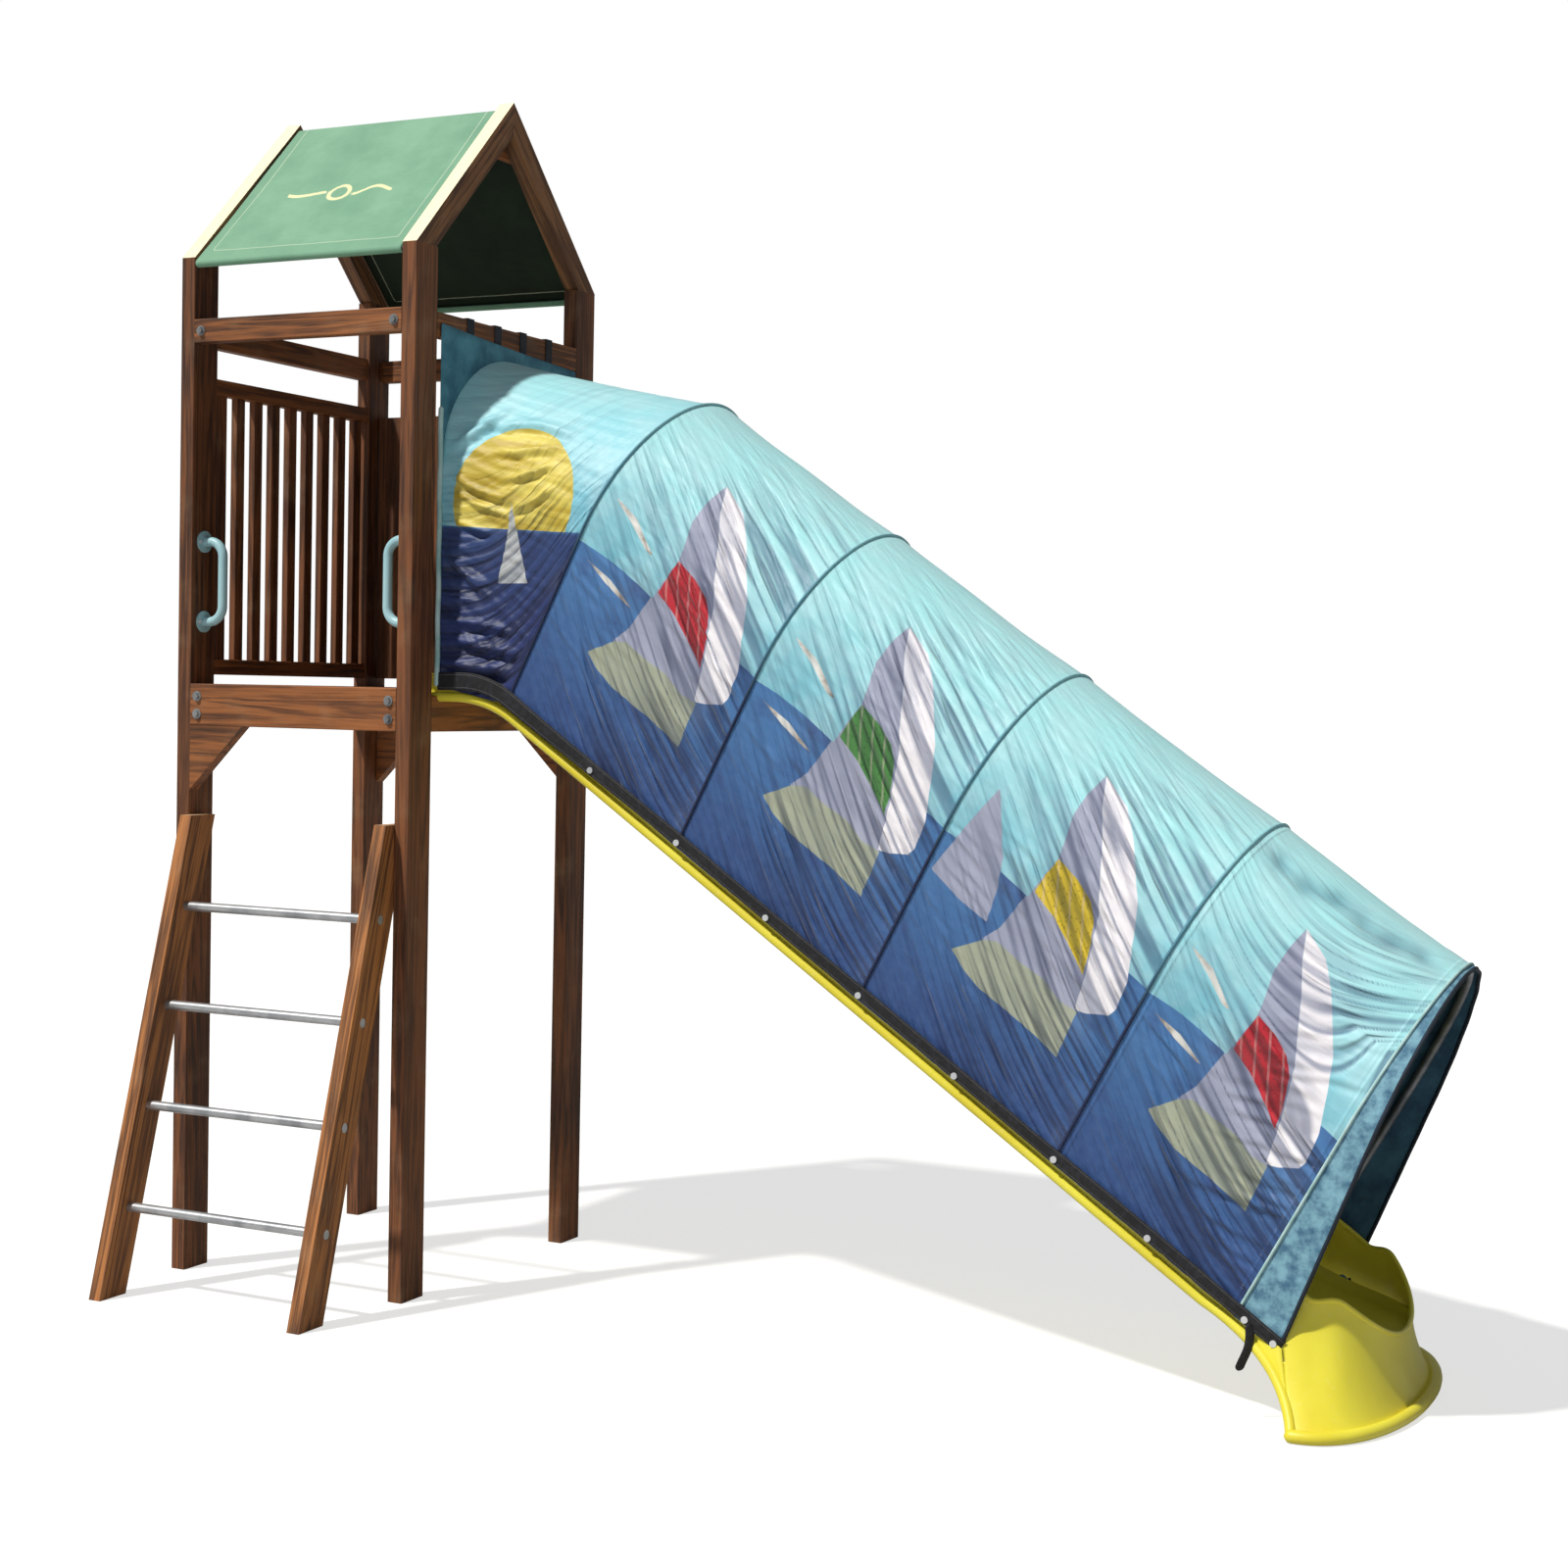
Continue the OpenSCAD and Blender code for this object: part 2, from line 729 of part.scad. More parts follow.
wood() side_board(tower_w - beam_t, guard_z, guard_h);  // guard_rail_right
wood() fence_rail(fence_z - fence_rail_h);  // fence_top_rail
wood() fence_rail(deck_z + fence_foot);  // fence_bottom_rail
fence_bars();
wood() panel_rail(panel_z - fence_rail_h);  // panel_top_rail
wood() panel_rail(deck_z + fence_foot);  // panel_bottom_rail
panel_boards();
wood() rafter(0, false);  // rafter_front_left
wood() rafter(0, true);  // rafter_back_left
wood() rafter(right_x, false);  // rafter_front_right
wood() rafter(right_x, true);  // rafter_back_right
wood() gable_tie(post_w + clear);  // gable_tie_left
wood() gable_tie(right_x - tie_t - clear);  // gable_tie_right
wood() translate([post_w, mid_y, ridge_z]) rotate([0, 90, 0]) cylinder(d = ridge_pole_d, h = in_w);  // ridge_pole
color("dimgray") placed() eave_rod(eave_y);  // eave_rod_front
color("dimgray") placed() eave_rod(tower_d - eave_y);  // eave_rod_back
roof_canvas();
wood() ladder_rail(post_w + clear);  // ladder_rail_left
wood() ladder_rail(right_x - clear - ladder_t);  // ladder_rail_right
ladder_rungs();
color("lightblue") placed() handle_place(post_w, false) grab_handle();  // grab_handle_left
color("lightblue") placed() handle_place(right_x, true) grab_handle();  // grab_handle_right
handle_screws();
frame_bolts();
slide_chute();
for (k = [0:4]) {
    color("gray") placed() hoop(k);
}
color("skyblue") placed() cover_entry();
for (k = [0:3]) {
    color("skyblue") placed() cover_bay(k);
}
color("lightskyblue") placed() cover_end();
color("black") placed() hem_band(-1);  // hem_band_near
color("black") placed() hem_band(1);  // hem_band_far
hem_studs();
top_straps();
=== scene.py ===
"""Looks of a timber play tower with a straight slide under a hooped fabric tunnel.

The frame holds the carpentry, the chute and the hoops. This script gives them their
materials and makes the sewn pieces: the printed tunnel cover in its bays, the seams over
the hoops, the hem bands with their studs, the mouth panel and the roof canvas.
"""
import math

import bpy
import numpy as np
from mathutils import Matrix, Vector


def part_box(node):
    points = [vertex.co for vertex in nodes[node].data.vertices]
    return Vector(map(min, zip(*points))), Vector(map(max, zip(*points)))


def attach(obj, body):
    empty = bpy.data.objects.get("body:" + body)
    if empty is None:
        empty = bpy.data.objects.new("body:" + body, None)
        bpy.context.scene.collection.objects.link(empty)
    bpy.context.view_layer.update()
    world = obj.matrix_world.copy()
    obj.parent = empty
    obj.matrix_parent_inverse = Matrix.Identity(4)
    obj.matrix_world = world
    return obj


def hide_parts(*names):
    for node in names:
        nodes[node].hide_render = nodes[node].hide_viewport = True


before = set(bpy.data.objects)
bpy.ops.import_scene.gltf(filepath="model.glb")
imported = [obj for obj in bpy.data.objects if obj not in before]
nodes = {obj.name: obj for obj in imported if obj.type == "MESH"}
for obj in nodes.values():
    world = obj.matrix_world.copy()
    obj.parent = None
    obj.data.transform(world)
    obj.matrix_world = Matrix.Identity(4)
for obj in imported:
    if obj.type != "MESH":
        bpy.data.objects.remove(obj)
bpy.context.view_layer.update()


# ---------------------------------------------------------------- sizes and places

def span(node):
    """The lowest and highest corners of a CAD node, as two arrays."""
    low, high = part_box(node)
    return np.array(low), np.array(high)


SLOPE = math.radians(34.3)
SLOPE_OUT = 0.140
HOOP_FOOT = 0.064
HOOP_PITCH = 0.578
LAST_HOOP = 2.303
HOOP_LEG = 0.500
HOOP_SPREAD = 0.035
HOOP_LEAN = 0.085
FOOT_UP = 0.023
END_STRIP = 0.115
END_STRIP_TOP = 0.015
CLOTH = 0.0118
CLOTH_THICK = 0.0016
FOLD_DEPTH = 0.0040
CHUTE_HALF = 0.290
CHUTE_WALL = 0.186
CHUTE_LOW_WALL = 0.150
CHUTE_FLOOR = 0.020
CHUTE_BEND = 0.30
CHUTE_LIP = 0.062
OUTLET_Z = 0.148
OUTLET_BACK = 0.190
HEEL_START = 2.227
FLARE = 0.122
NOSE_POINTS = 121

tower_right = span("post_front_right")[1][0]
tower_front = span("post_front_right")[0][1]
lip_z = span("deck_beam_right")[1][2]
mid_y = float(np.mean([span("slide_chute")[0][1], span("slide_chute")[1][1]]))
turn_x = tower_right + SLOPE_OUT
ground_x = turn_x + lip_z / math.tan(SLOPE)
nose_x = ground_x + 0.018
leg_y = float(span("hoop_1")[1][1] - mid_y) - HOOP_SPREAD - 0.010
arch_r = leg_y + HOOP_SPREAD
lean = HOOP_LEAN / (HOOP_LEG + arch_r)
hoops = [HOOP_FOOT + k * HOOP_PITCH for k in range(4)] + [LAST_HOOP]
cover_leg = leg_y + CLOTH
cover_r = arch_r + CLOTH
leg_arc = math.hypot(HOOP_LEG, HOOP_SPREAD)
cover_arc = 2 * leg_arc + math.pi * cover_r


def down_slope(s, y, m):
    """Points s along the slope, y across from the middle and m square to the slope."""
    x = turn_x + s * math.cos(SLOPE) + m * math.sin(SLOPE)
    z = lip_z - s * math.sin(SLOPE) + m * math.cos(SLOPE)
    return np.stack(np.broadcast_arrays(x, mid_y + y, z), -1)


def outline(arc):
    """Side reach and height of the cover, arc metres round a hoop from its near foot."""
    over = np.clip(arc, leg_arc, cover_arc - leg_arc)
    turn = (over - leg_arc) / cover_r
    near = np.clip(arc / leg_arc, None, 1)
    far = np.clip((cover_arc - arc) / leg_arc, None, 1)
    side = np.minimum(near, far)
    wide = cover_leg + (cover_r - cover_leg) * side
    y = -np.cos(turn) * np.where(side < 1, wide, cover_r)
    h = HOOP_LEG * side + cover_r * np.sin(turn)
    return y, h, -np.cos(turn), np.sin(turn)


# ---------------------------------------------------------------- meshes

def new_mesh(name, points, faces, smooth=True):
    """A mesh object made from points and faces, linked to the scene."""
    mesh = bpy.data.meshes.new(name)
    mesh.from_pydata([tuple(p) for p in points], [], [tuple(int(i) for i in f) for f in faces])
    mesh.update()
    mesh.polygons.foreach_set("use_smooth", [smooth] * len(mesh.polygons))
    piece = bpy.data.objects.new(name, mesh)
    bpy.context.scene.collection.objects.link(piece)
    return piece


def grid_faces(rows, columns, start=0):
    """Quads between neighbouring points of a rows by columns grid."""
    i = np.arange(rows * columns).reshape(rows, columns) + start
    quads = np.stack([i[:-1, :-1], i[:-1, 1:], i[1:, 1:], i[1:, :-1]], -1)
    return quads.reshape(-1, 4)


def surface_normals(points):
    """Unit normals of a grid of points, from the steps between its neighbours."""
    along = np.gradient(points, axis=0)
    across = np.gradient(points, axis=1)
    normal = np.cross(along, across)
    return normal / np.maximum(np.linalg.norm(normal, axis=-1, keepdims=True), 1e-9)


def sheet_piece(name, points, thick, outer, inner, facts=None, away=None):
    """A closed thin sheet: the grid moved half its thickness out and in, with a rim.

    The grid's outer side is the one its surface normals point to. A folded sheet gives
    the directions of its unfolded shape as away, so its sides never cross in a fold.
    facts are numbers for every grid point, kept as named values for the material.
    """
    rows, columns = points.shape[:2]
    normal = surface_normals(points) if away is None else away
    top = (points + normal * thick / 2).reshape(-1, 3)
    under = (points - normal * thick / 2).reshape(-1, 3)
    count = rows * columns
    faces = grid_faces(rows, columns)[:, ::-1]
    backs = grid_faces(rows, columns, count)
    i = np.arange(count).reshape(rows, columns)
    edge = np.concatenate([i[0, :], i[1:, -1], i[-1, -2::-1], i[-2:0:-1, 0]])
    ahead = np.roll(edge, -1)
    rim = np.stack([edge, ahead, ahead + count, edge + count], -1)
    piece = new_mesh(name, np.concatenate([top, under]), np.concatenate([faces, backs, rim]))
    piece.data.materials.append(outer)
    piece.data.materials.append(inner)
    which = np.zeros(len(piece.data.polygons), int)
    which[len(faces):len(faces) + len(backs)] = 1
    piece.data.polygons.foreach_set("material_index", which)
    for key, values in (facts or {}).items():
        kept = piece.data.attributes.new(key, "FLOAT", "POINT")
        kept.data.foreach_set("value", np.tile(np.asarray(values, float).ravel(), 2))
    return piece


def rounded_tube(name, path, radius, material, sides=14, flat=1.0, facts=None):
    """A tube along a path of points, its round section carried without twist, ends domed."""
    path = np.asarray(path, float)
    ahead = np.gradient(path, axis=0)
    ahead /= np.linalg.norm(ahead, axis=1, keepdims=True)
    side = np.cross(ahead[0], (0.0, 0.0, 1.0))
    if np.linalg.norm(side) < 0.1:
        side = np.cross(ahead[0], (0.0, 1.0, 0.0))
    rings = []
    for k, direction in enumerate(ahead):
        side = side - direction * np.dot(side, direction)
        side = side / np.linalg.norm(side)
        up = np.cross(side, direction)
        turn = np.linspace(0, 2 * math.pi, sides, endpoint=False)
        ring = np.outer(np.cos(turn), side) + flat * np.outer(np.sin(turn), up)
        rings.append(path[k] + radius * ring)
    first = [path[0] + (rings[0] - path[0]) * f - ahead[0] * radius * g
             for f, g in ((0.5, 0.8), (0.85, 0.45))]
    last = [path[-1] + (rings[-1] - path[-1]) * f + ahead[-1] * radius * g
            for f, g in ((0.85, 0.45), (0.5, 0.8))]
    rings = first + rings + last
    points = np.concatenate(rings)
    n = len(rings)
    i = np.arange(n * sides).reshape(n, sides)
    j = np.roll(i, -1, axis=1)
    faces = [tuple(f) for f in np.stack([i[:-1], i[1:], j[1:], j[:-1]], -1).reshape(-1, 4)]
    points = np.concatenate([points, [path[0] - ahead[0] * radius, path[-1] + ahead[-1] * radius]])
    low, high = len(points) - 2, len(points) - 1
    faces += [(low, i[0, a], i[0, (a + 1) % sides]) for a in range(sides)]
    faces += [(high, i[-1, (a + 1) % sides], i[-1, a]) for a in range(sides)]
    piece = new_mesh(name, points, faces)
    piece.data.materials.append(material)
    for key, values in (facts or {}).items():
        values = np.asarray(values, float)
        values = np.concatenate([[values[0]] * 2, values, [values[-1]] * 2])
        kept = piece.data.attributes.new(key, "FLOAT", "POINT")
        every = np.concatenate([np.repeat(values, sides), [values[0], values[-1]]])
        kept.data.foreach_set("value", every)
    return piece


# ---------------------------------------------------------------- materials

def colour(red, green, blue):
    """A screen colour, each part from 0 to 255, as linear light with full cover."""
    parts = np.array([red, green, blue]) / 255
    linear = np.where(parts < 0.04045, parts / 12.92, ((parts + 0.055) / 1.055) ** 2.4)
    return (*[float(v) for v in linear], 1.0)


class Socket:
    """A shader output that adds, multiplies and compares like a number."""

    def __init__(self, paint, output):
        self.paint = paint
        self.output = output

    def math(self, operation, other=None, swap=False, clamp=False):
        terms = [self] if other is None else [other, self] if swap else [self, other]
        return self.paint.node("Math", dict(enumerate(terms)), operation=operation, use_clamp=clamp)

    def __add__(self, other):
        return self.math("ADD", other)

    def __radd__(self, other):
        return self.math("ADD", other, swap=True)

    def __sub__(self, other):
        return self.math("SUBTRACT", other)

    def __rsub__(self, other):
        return self.math("SUBTRACT", other, swap=True)

    def __mul__(self, other):
        return self.math("MULTIPLY", other)

    def __rmul__(self, other):
        return self.math("MULTIPLY", other, swap=True)

    def sine(self):
        return self.math("SINE")

    def size(self):
        return self.math("ABSOLUTE")

    def fraction(self):
        return self.math("FRACT")

    def smaller(self, other):
        return self.math("MINIMUM", other)

    def rise(self, low, high, first=0.0, last=1.0):
        """Goes smoothly from first to last as the value goes from low to high."""
        return self.paint.node(
            "MapRange", {0: self, 1: low, 2: high, 3: first, 4: last}, interpolation_type="SMOOTHSTEP"
        )


class Paint:
    """A node material under one name, built from sockets."""

    def __init__(self, name):
        self.material = bpy.data.materials.new(name)
        self.material.use_nodes = True
        self.tree = self.material.node_tree
        self.shader = self.tree.nodes["Principled BSDF"]

    def feed(self, socket, value):
        if isinstance(value, Socket):
            self.tree.links.new(value.output, socket)
        else:
            socket.default_value = value

    def node(self, kind, inputs=None, out=0, **settings):
        """Adds a shader node, gives it its settings and inputs, and returns one output."""
        made = self.tree.nodes.new("ShaderNode" + kind)
        for key, value in settings.items():
            setattr(made, key, value)
        for key, value in (inputs or {}).items():
            self.feed(made.inputs[key], value)
        return Socket(self, made.outputs[out])

    def place(self, scale=(1, 1, 1), turn=(0, 0, 0)):
        """The point on the object, turned and then scaled along each direction."""
        here = self.node("TexCoord", out=3)
        if any(turn):
            here = self.node("VectorRotate", {0: here, 4: turn}, rotation_type="EULER_XYZ")
        return self.node("VectorMath", {0: here, 1: scale}, operation="MULTIPLY")

    def noise(self, where, scale, detail=3.0, rough=0.5, warp=0.0):
        inputs = {"Vector": where, "Scale": scale, "Detail": detail, "Roughness": rough}
        inputs["Distortion"] = warp
        return self.node("TexNoise", inputs)

    def cells(self, where, scale, feature="F1"):
        return self.node("TexVoronoi", {"Vector": where, "Scale": scale}, feature=feature)

    def fact(self, name):
        """A number kept with the mesh's points."""
        return self.node("Attribute", out=2, attribute_name=name)

    def mix(self, amount, first, second, way="MIX"):
        """Colour between first and second by the amount."""
        return self.node(
            "Mix", {0: amount, 6: first, 7: second}, out=2, data_type="RGBA", blend_type=way
        )

    def axis(self, vector, which):
        return self.node("SeparateXYZ", {0: vector}, out=which)

    def combine(self, x, y, z):
        return self.node("CombineXYZ", {0: x, 1: y, 2: z})

    def bump(self, height, distance, strength=1.0, under=None):
        inputs = {"Height": height, "Distance": distance, "Strength": strength}
        if under is not None:
            inputs["Normal"] = under
        return self.node("Bump", inputs)

    def finish(self, base, rough, normal=None, **others):
        self.feed(self.shader.inputs["Base Color"], base)
        self.feed(self.shader.inputs["Roughness"], rough)
        if normal is not None:
            self.feed(self.shader.inputs["Normal"], normal)
        for key, value in others.items():
            self.feed(self.shader.inputs[key.replace("_", " ")], value)
        return self.material


def timber(name, along, light, dark, sun_bleach_and_highlight=0.0, turn=(0, 0, 0)):
    """Planed softwood, stained: long fibres and growth lines along one direction. Upward faces are
    lightened towards cream: sun bleaching plus a painted highlight.
    """
    p = Paint(name)
    fibre = [46.0, 46.0, 46.0]
    fibre[along] = 2.2
    lines = [15.0, 15.0, 15.0]
    lines[along] = 0.7
    here = p.place(tuple(fibre), turn)
    rings = p.noise(p.place(tuple(lines), turn), 1.6, 3.0, 0.55, 0.6)
    growth = (rings * 34.0).sine() * 0.5 + 0.5
    grain = p.noise(here, 3.2, 5.0, 0.62)
    broad = p.noise(p.place(turn=turn), 2.1, 2.0)
    knots = p.cells(p.place(tuple(v * 0.2 for v in lines), turn), 1.5)
    knot = knots.rise(0.05, 0.16, 1.0, 0.0)
    tone = grain * 0.55 + growth * 0.22 + broad * 0.35
    stain = p.mix(tone.rise(0.25, 0.85), dark, light)
    stain = p.mix(knot * 0.75, stain, tuple(v * 0.35 for v in dark[:3]) + (1.0,))
    # Upward faces go cream: partly sun bleaching, partly a painted highlight where the light falls on the
    # tops
    if sun_bleach_and_highlight:
        up = p.axis(p.node("NewGeometry", out=1), 2)
        worn = up.rise(0.25, 0.6) * (grain * 0.5 + 0.75) * sun_bleach_and_highlight
        stain = p.mix(worn.smaller(1.0), stain, colour(250, 240, 205))
    dust = p.noise(p.place(), 9.0, 4.0).rise(0.52, 0.8)
    stain = p.mix(dust * 0.18, stain, colour(176, 150, 116))
    height = grain * 0.7 + growth * 0.3 - knot * 0.4
    rough = (grain * 0.25 + 0.52).smaller(0.95)
    return p.finish(stain, rough, p.bump(height, 0.0012, 0.7))


def metal(name, base, shade, rough, along=2, metallic=0.85):
    """Drawn metal tube: fine lines along it, with dull patches."""
    p = Paint(name)
    lines = [300.0, 300.0, 300.0]
    lines[along] = 6.0
    drawn = p.noise(p.place(tuple(lines)), 1.0, 3.0)
    patch = p.noise(p.place(), 14.0, 4.0)
    tone = p.mix(patch.rise(0.35, 0.75), base, shade)
    tone = p.mix(drawn * 0.3, tone, shade)
    gloss = patch * 0.22 + drawn * 0.1 + rough
    return p.finish(tone, gloss, p.bump(drawn, 0.0003, 0.4), Metallic=metallic)


def moulded(name, base, shade, rough=0.32, pebble=420.0, sheen=0.0):
    """Moulded plastic: fine pebbled skin, scuffs that follow the slope, faded patches."""
    p = Paint(name)
    pores = p.noise(p.place(), pebble, 2.0)
    broad = p.noise(p.place(), 3.2, 4.0)
    slope_way = p.place((9.0, 130.0, 130.0), (0, SLOPE, 0))
    scuffs = p.noise(slope_way, 1.0, 4.0, 0.6).rise(0.58, 0.78)
    tone = p.mix(broad.rise(0.3, 0.75), base, shade)
    tone = p.mix(scuffs * 0.22, tone, colour(238, 232, 190))
    speck = p.cells(p.place(), 55.0).rise(0.02, 0.06, 1.0, 0.0)
    tone = p.mix(speck * 0.25, tone, tuple(v * 0.5 for v in shade[:3]) + (1.0,))
    gloss = broad * 0.16 + scuffs * 0.22 + rough
    height = pores * 0.5 + scuffs * 0.25
    return p.finish(tone, gloss, p.bump(height, 0.0005, 0.5), Coat_Weight=sheen)


def weave_height(p, across, along, threads):
    """Height of a plain weave: threads pass over and under each other."""
    warp = (across * (threads * math.pi)).sine()
    weft = (along * (threads * math.pi)).sine()
    return warp.size() * 0.5 + weft.size() * 0.5 + warp * weft * 0.25


def printed_cloth(name, patch, shadow_tone=colour(58, 122, 148)):
    """The tunnel's printed cloth: pale sky over a blue sea, and sails on the bays.

    The print's edges come from distances kept with the points, so they stay sharp.
    """
    p = Paint(name)
    arc = p.fact("arc")
    run = p.fact("run")
    where = p.combine(run, arc, 0.0)
    wash = p.noise(where, 7.0, 4.0, 0.6)
    fine = p.noise(where, 55.0, 3.0)
    high = p.fact("height")
    sky = p.mix(high.rise(0.42, 0.86), colour(112, 190, 212), colour(176, 238, 242))
    sky = p.mix(wash.rise(0.35, 0.7) * 0.45, sky, colour(196, 232, 238))
    sky = p.mix(fine * 0.22, sky, colour(150, 205, 216))
    sea = p.mix(high.rise(0.05, 0.48), colour(22, 60, 122), colour(62, 118, 176))
    sea = p.mix(wash.rise(0.5, 0.72) * 0.7, sea, colour(24, 40, 108))
    sea = p.mix(fine * 0.25, sea, colour(110, 150, 205))
    cloth = p.mix(p.fact("sea").rise(-0.001, 0.001), sky, sea)
    cloth = p.mix(p.fact("shadow"), cloth, shadow_tone)

    def printed(shape, inside):
        nonlocal cloth
        cloth = p.mix(p.fact(shape).rise(-0.0012, 0.0012), cloth, inside)

    sage = p.mix(wash, colour(180, 184, 158), colour(152, 162, 150))
    lilac = p.mix(wash, colour(176, 178, 200), colour(150, 158, 184))
    white = p.mix(fine, colour(255, 252, 255), colour(238, 234, 244))
    printed("far_sail", lilac)
    printed("jib_low", sage)
    printed("jib", lilac)
    printed("shade_sail", lilac)
    printed("sail", white)
    stripes = ((run * 1.15 + arc * 0.6) * 150.0).sine().rise(0.75, 0.95)
    dots = p.cells(where, 95.0).rise(0.2, 0.34, 1.0, 0.0)
    deep = tuple(v * 0.45 for v in patch[:3]) + (1.0,)
    block = p.mix(dots * 0.55, patch, deep)
    block = p.mix(stripes * 0.25, block, colour(238, 216, 206))
    printed("patch", block)
    printed("streak", p.mix(wash.rise(0.42, 0.58), colour(226, 226, 222), colour(158, 142, 126)))
    rays = p.noise(p.combine(run * 3.0, arc * 16.0, 0.0), 1.6, 3.0)
    gold = p.mix(rays.rise(0.35, 0.65), colour(226, 208, 96), colour(186, 160, 40))
    printed("sun", gold)
    printed("far_boat", p.mix(wash, colour(214, 214, 226), colour(150, 160, 150)))
    pull = p.fact("pull")
    slack = p.fact("slack")
    ridges = p.noise(p.combine(run * 0.10, pull, 0.0), 50.0, 1.0, 0.35, 0.1).rise(0.34, 0.54)
    threads = p.noise(p.combine(run * 0.14, pull, 4.0), 110.0, 2.0)
    where_loose = p.noise(where, 4.5, 2.0).rise(0.30, 0.62, 0.35, 1.0)
    loose = slack * where_loose
    # Painted shade: the cloth darkened in the troughs between the pulled folds, most where it hangs slack
    cloth = p.mix((1.0 - ridges) * loose * 0.45, cloth, colour(104, 122, 156), "MULTIPLY")
    # Painted shade: darker in the troughs of the fine gathers
    cloth = p.mix(p.fact("gather").rise(0.1, 0.8) * 0.70, cloth, colour(104, 118, 150), "MULTIPLY")
    worn = p.noise(where, 2.4, 3.0).rise(0.5, 0.8)
    cloth = p.mix(worn * 0.10, cloth, colour(236, 244, 244))
    weave = weave_height(p, run, arc, 900.0)
    creases = p.noise(p.combine(run * 9.0 + arc * 3.0, arc * 34.0, 0.0), 1.0, 4.0)
    stitch = p.fact("stitch")
    normal = p.bump(creases, 0.006, 0.5)
    normal = p.bump((ridges + threads * 0.30) * loose, 0.0060, 1.0, normal)
    normal = p.bump(weave, 0.0003, 0.35, normal)
    normal = p.bump(stitch, 0.0015, 0.8, normal)
    rough = fine * 0.18 + 0.40
    return p.finish(cloth, rough, normal, Sheen_Weight=0.15)


def plain_cloth(name, base, shade, threads=700.0, rough=0.7, mottle=14.0):
    """Woven cloth of one colour, uneven in its dye."""
    p = Paint(name)
    here = p.place()
    x, y, z = (p.axis(here, k) for k in range(3))
    wash = p.noise(here, mottle, 4.0, 0.6)
    fine = p.noise(here, 160.0, 2.0)
    tone = p.mix(wash.rise(0.3, 0.72), base, shade)
    tone = p.mix(fine * 0.3, tone, shade)
    weave = weave_height(p, x + y, z - y * 0.5, threads)
    normal = p.bump(wash, 0.003, 0.5)
    normal = p.bump(weave, 0.0003, 0.4, normal)
    return p.finish(tone, fine * 0.15 + rough, normal)


def roof_cloth(name, base, shade, motif):
    """Coarse roof canvas with doubled hems, and a plain wave mark where motif is set."""
    p = Paint(name)
    run, arc = p.fact("run"), p.fact("arc")
    where = p.combine(run, arc, 0.0)
    wash = p.noise(where, 6.0, 4.0, 0.6)
    slubs = p.noise(p.combine(run * 12.0, arc * 260.0, 0.0), 1.0, 3.0)
    tone = p.mix(wash.rise(0.3, 0.72), base, shade)
    tone = p.mix(slubs * 0.35, tone, shade)
    hem = p.fact("hem")
    seam = (hem - 0.030).size().rise(0.0008, 0.0022, 1.0, 0.0)
    dashes = (((run + arc) * 160.0).fraction()).rise(0.25, 0.4)
    thread = seam * dashes
    tone = p.mix(hem.rise(0.029, 0.031, 0.35, 0.0), tone, shade)
    tone = p.mix(thread * 0.8, tone, colour(214, 226, 200))
    if motif:
        mark = p.fact("mark")
        tone = p.mix(mark.rise(-0.001, 0.001) * 0.9, tone, colour(240, 234, 186))
    weave = weave_height(p, run, arc, 620.0)
    normal = p.bump(wash, 0.006, 0.4)
    normal = p.bump(weave + thread * 1.5, 0.0005, 0.5, normal)
    return p.finish(tone, slubs * 0.15 + 0.72, normal)


def webbing(name):
    """Black webbing: twill ribs across it and a stitch line near each edge."""
    p = Paint(name)
    run, side = p.fact("run"), p.fact("side")
    ribs = ((run * 520.0 + side * 3.5) * math.pi).sine()
    lint = p.noise(p.place(), 90.0, 4.0)
    edge = (side.size() - 0.72).size().rise(0.02, 0.07, 1.0, 0.0)
    thread = edge * ((run * 190.0).fraction()).rise(0.3, 0.45)
    tone = p.mix(lint.rise(0.4, 0.75), colour(14, 14, 18), colour(34, 35, 42))
    tone = p.mix(thread * 0.55, tone, colour(110, 112, 120))
    height = ribs * 0.4 + thread + lint * 0.4
    return p.finish(tone, lint * 0.2 + 0.55, p.bump(height, 0.0006, 0.7))


def piping(name):
    """Seam piping that takes the print's colour: dark over the sea, teal over the sky."""
    p = Paint(name)
    run = p.fact("run")
    high = p.fact("height")
    lint = p.noise(p.place(), 70.0, 3.0)
    tone = p.mix(high.rise(0.36, 0.62), colour(18, 26, 66), colour(86, 146, 164))
    tone = p.mix(high.rise(0.62, 0.86), tone, colour(150, 208, 214))
    tone = p.mix(lint * 0.3, tone, colour(40, 70, 110))
    twist = (run * 900.0).sine()
    return p.finish(tone, lint * 0.2 + 0.5, p.bump(twist + lint, 0.0006, 0.6))


brown_lit = colour(162, 98, 50)
brown_dark = colour(52, 26, 13)
WOOD_UP = timber("timber_upright", 2, colour(134, 80, 42), colour(44, 22, 12))
WOOD_LONG = timber("timber_along", 0, brown_lit, brown_dark)
WOOD_CROSS = timber("timber_across", 1, brown_lit, brown_dark)
lean_back = math.atan2(
    span("ladder_rail_left")[1][1] - span("ladder_rail_left")[0][1], span("ladder_rail_left")[1][2]
)
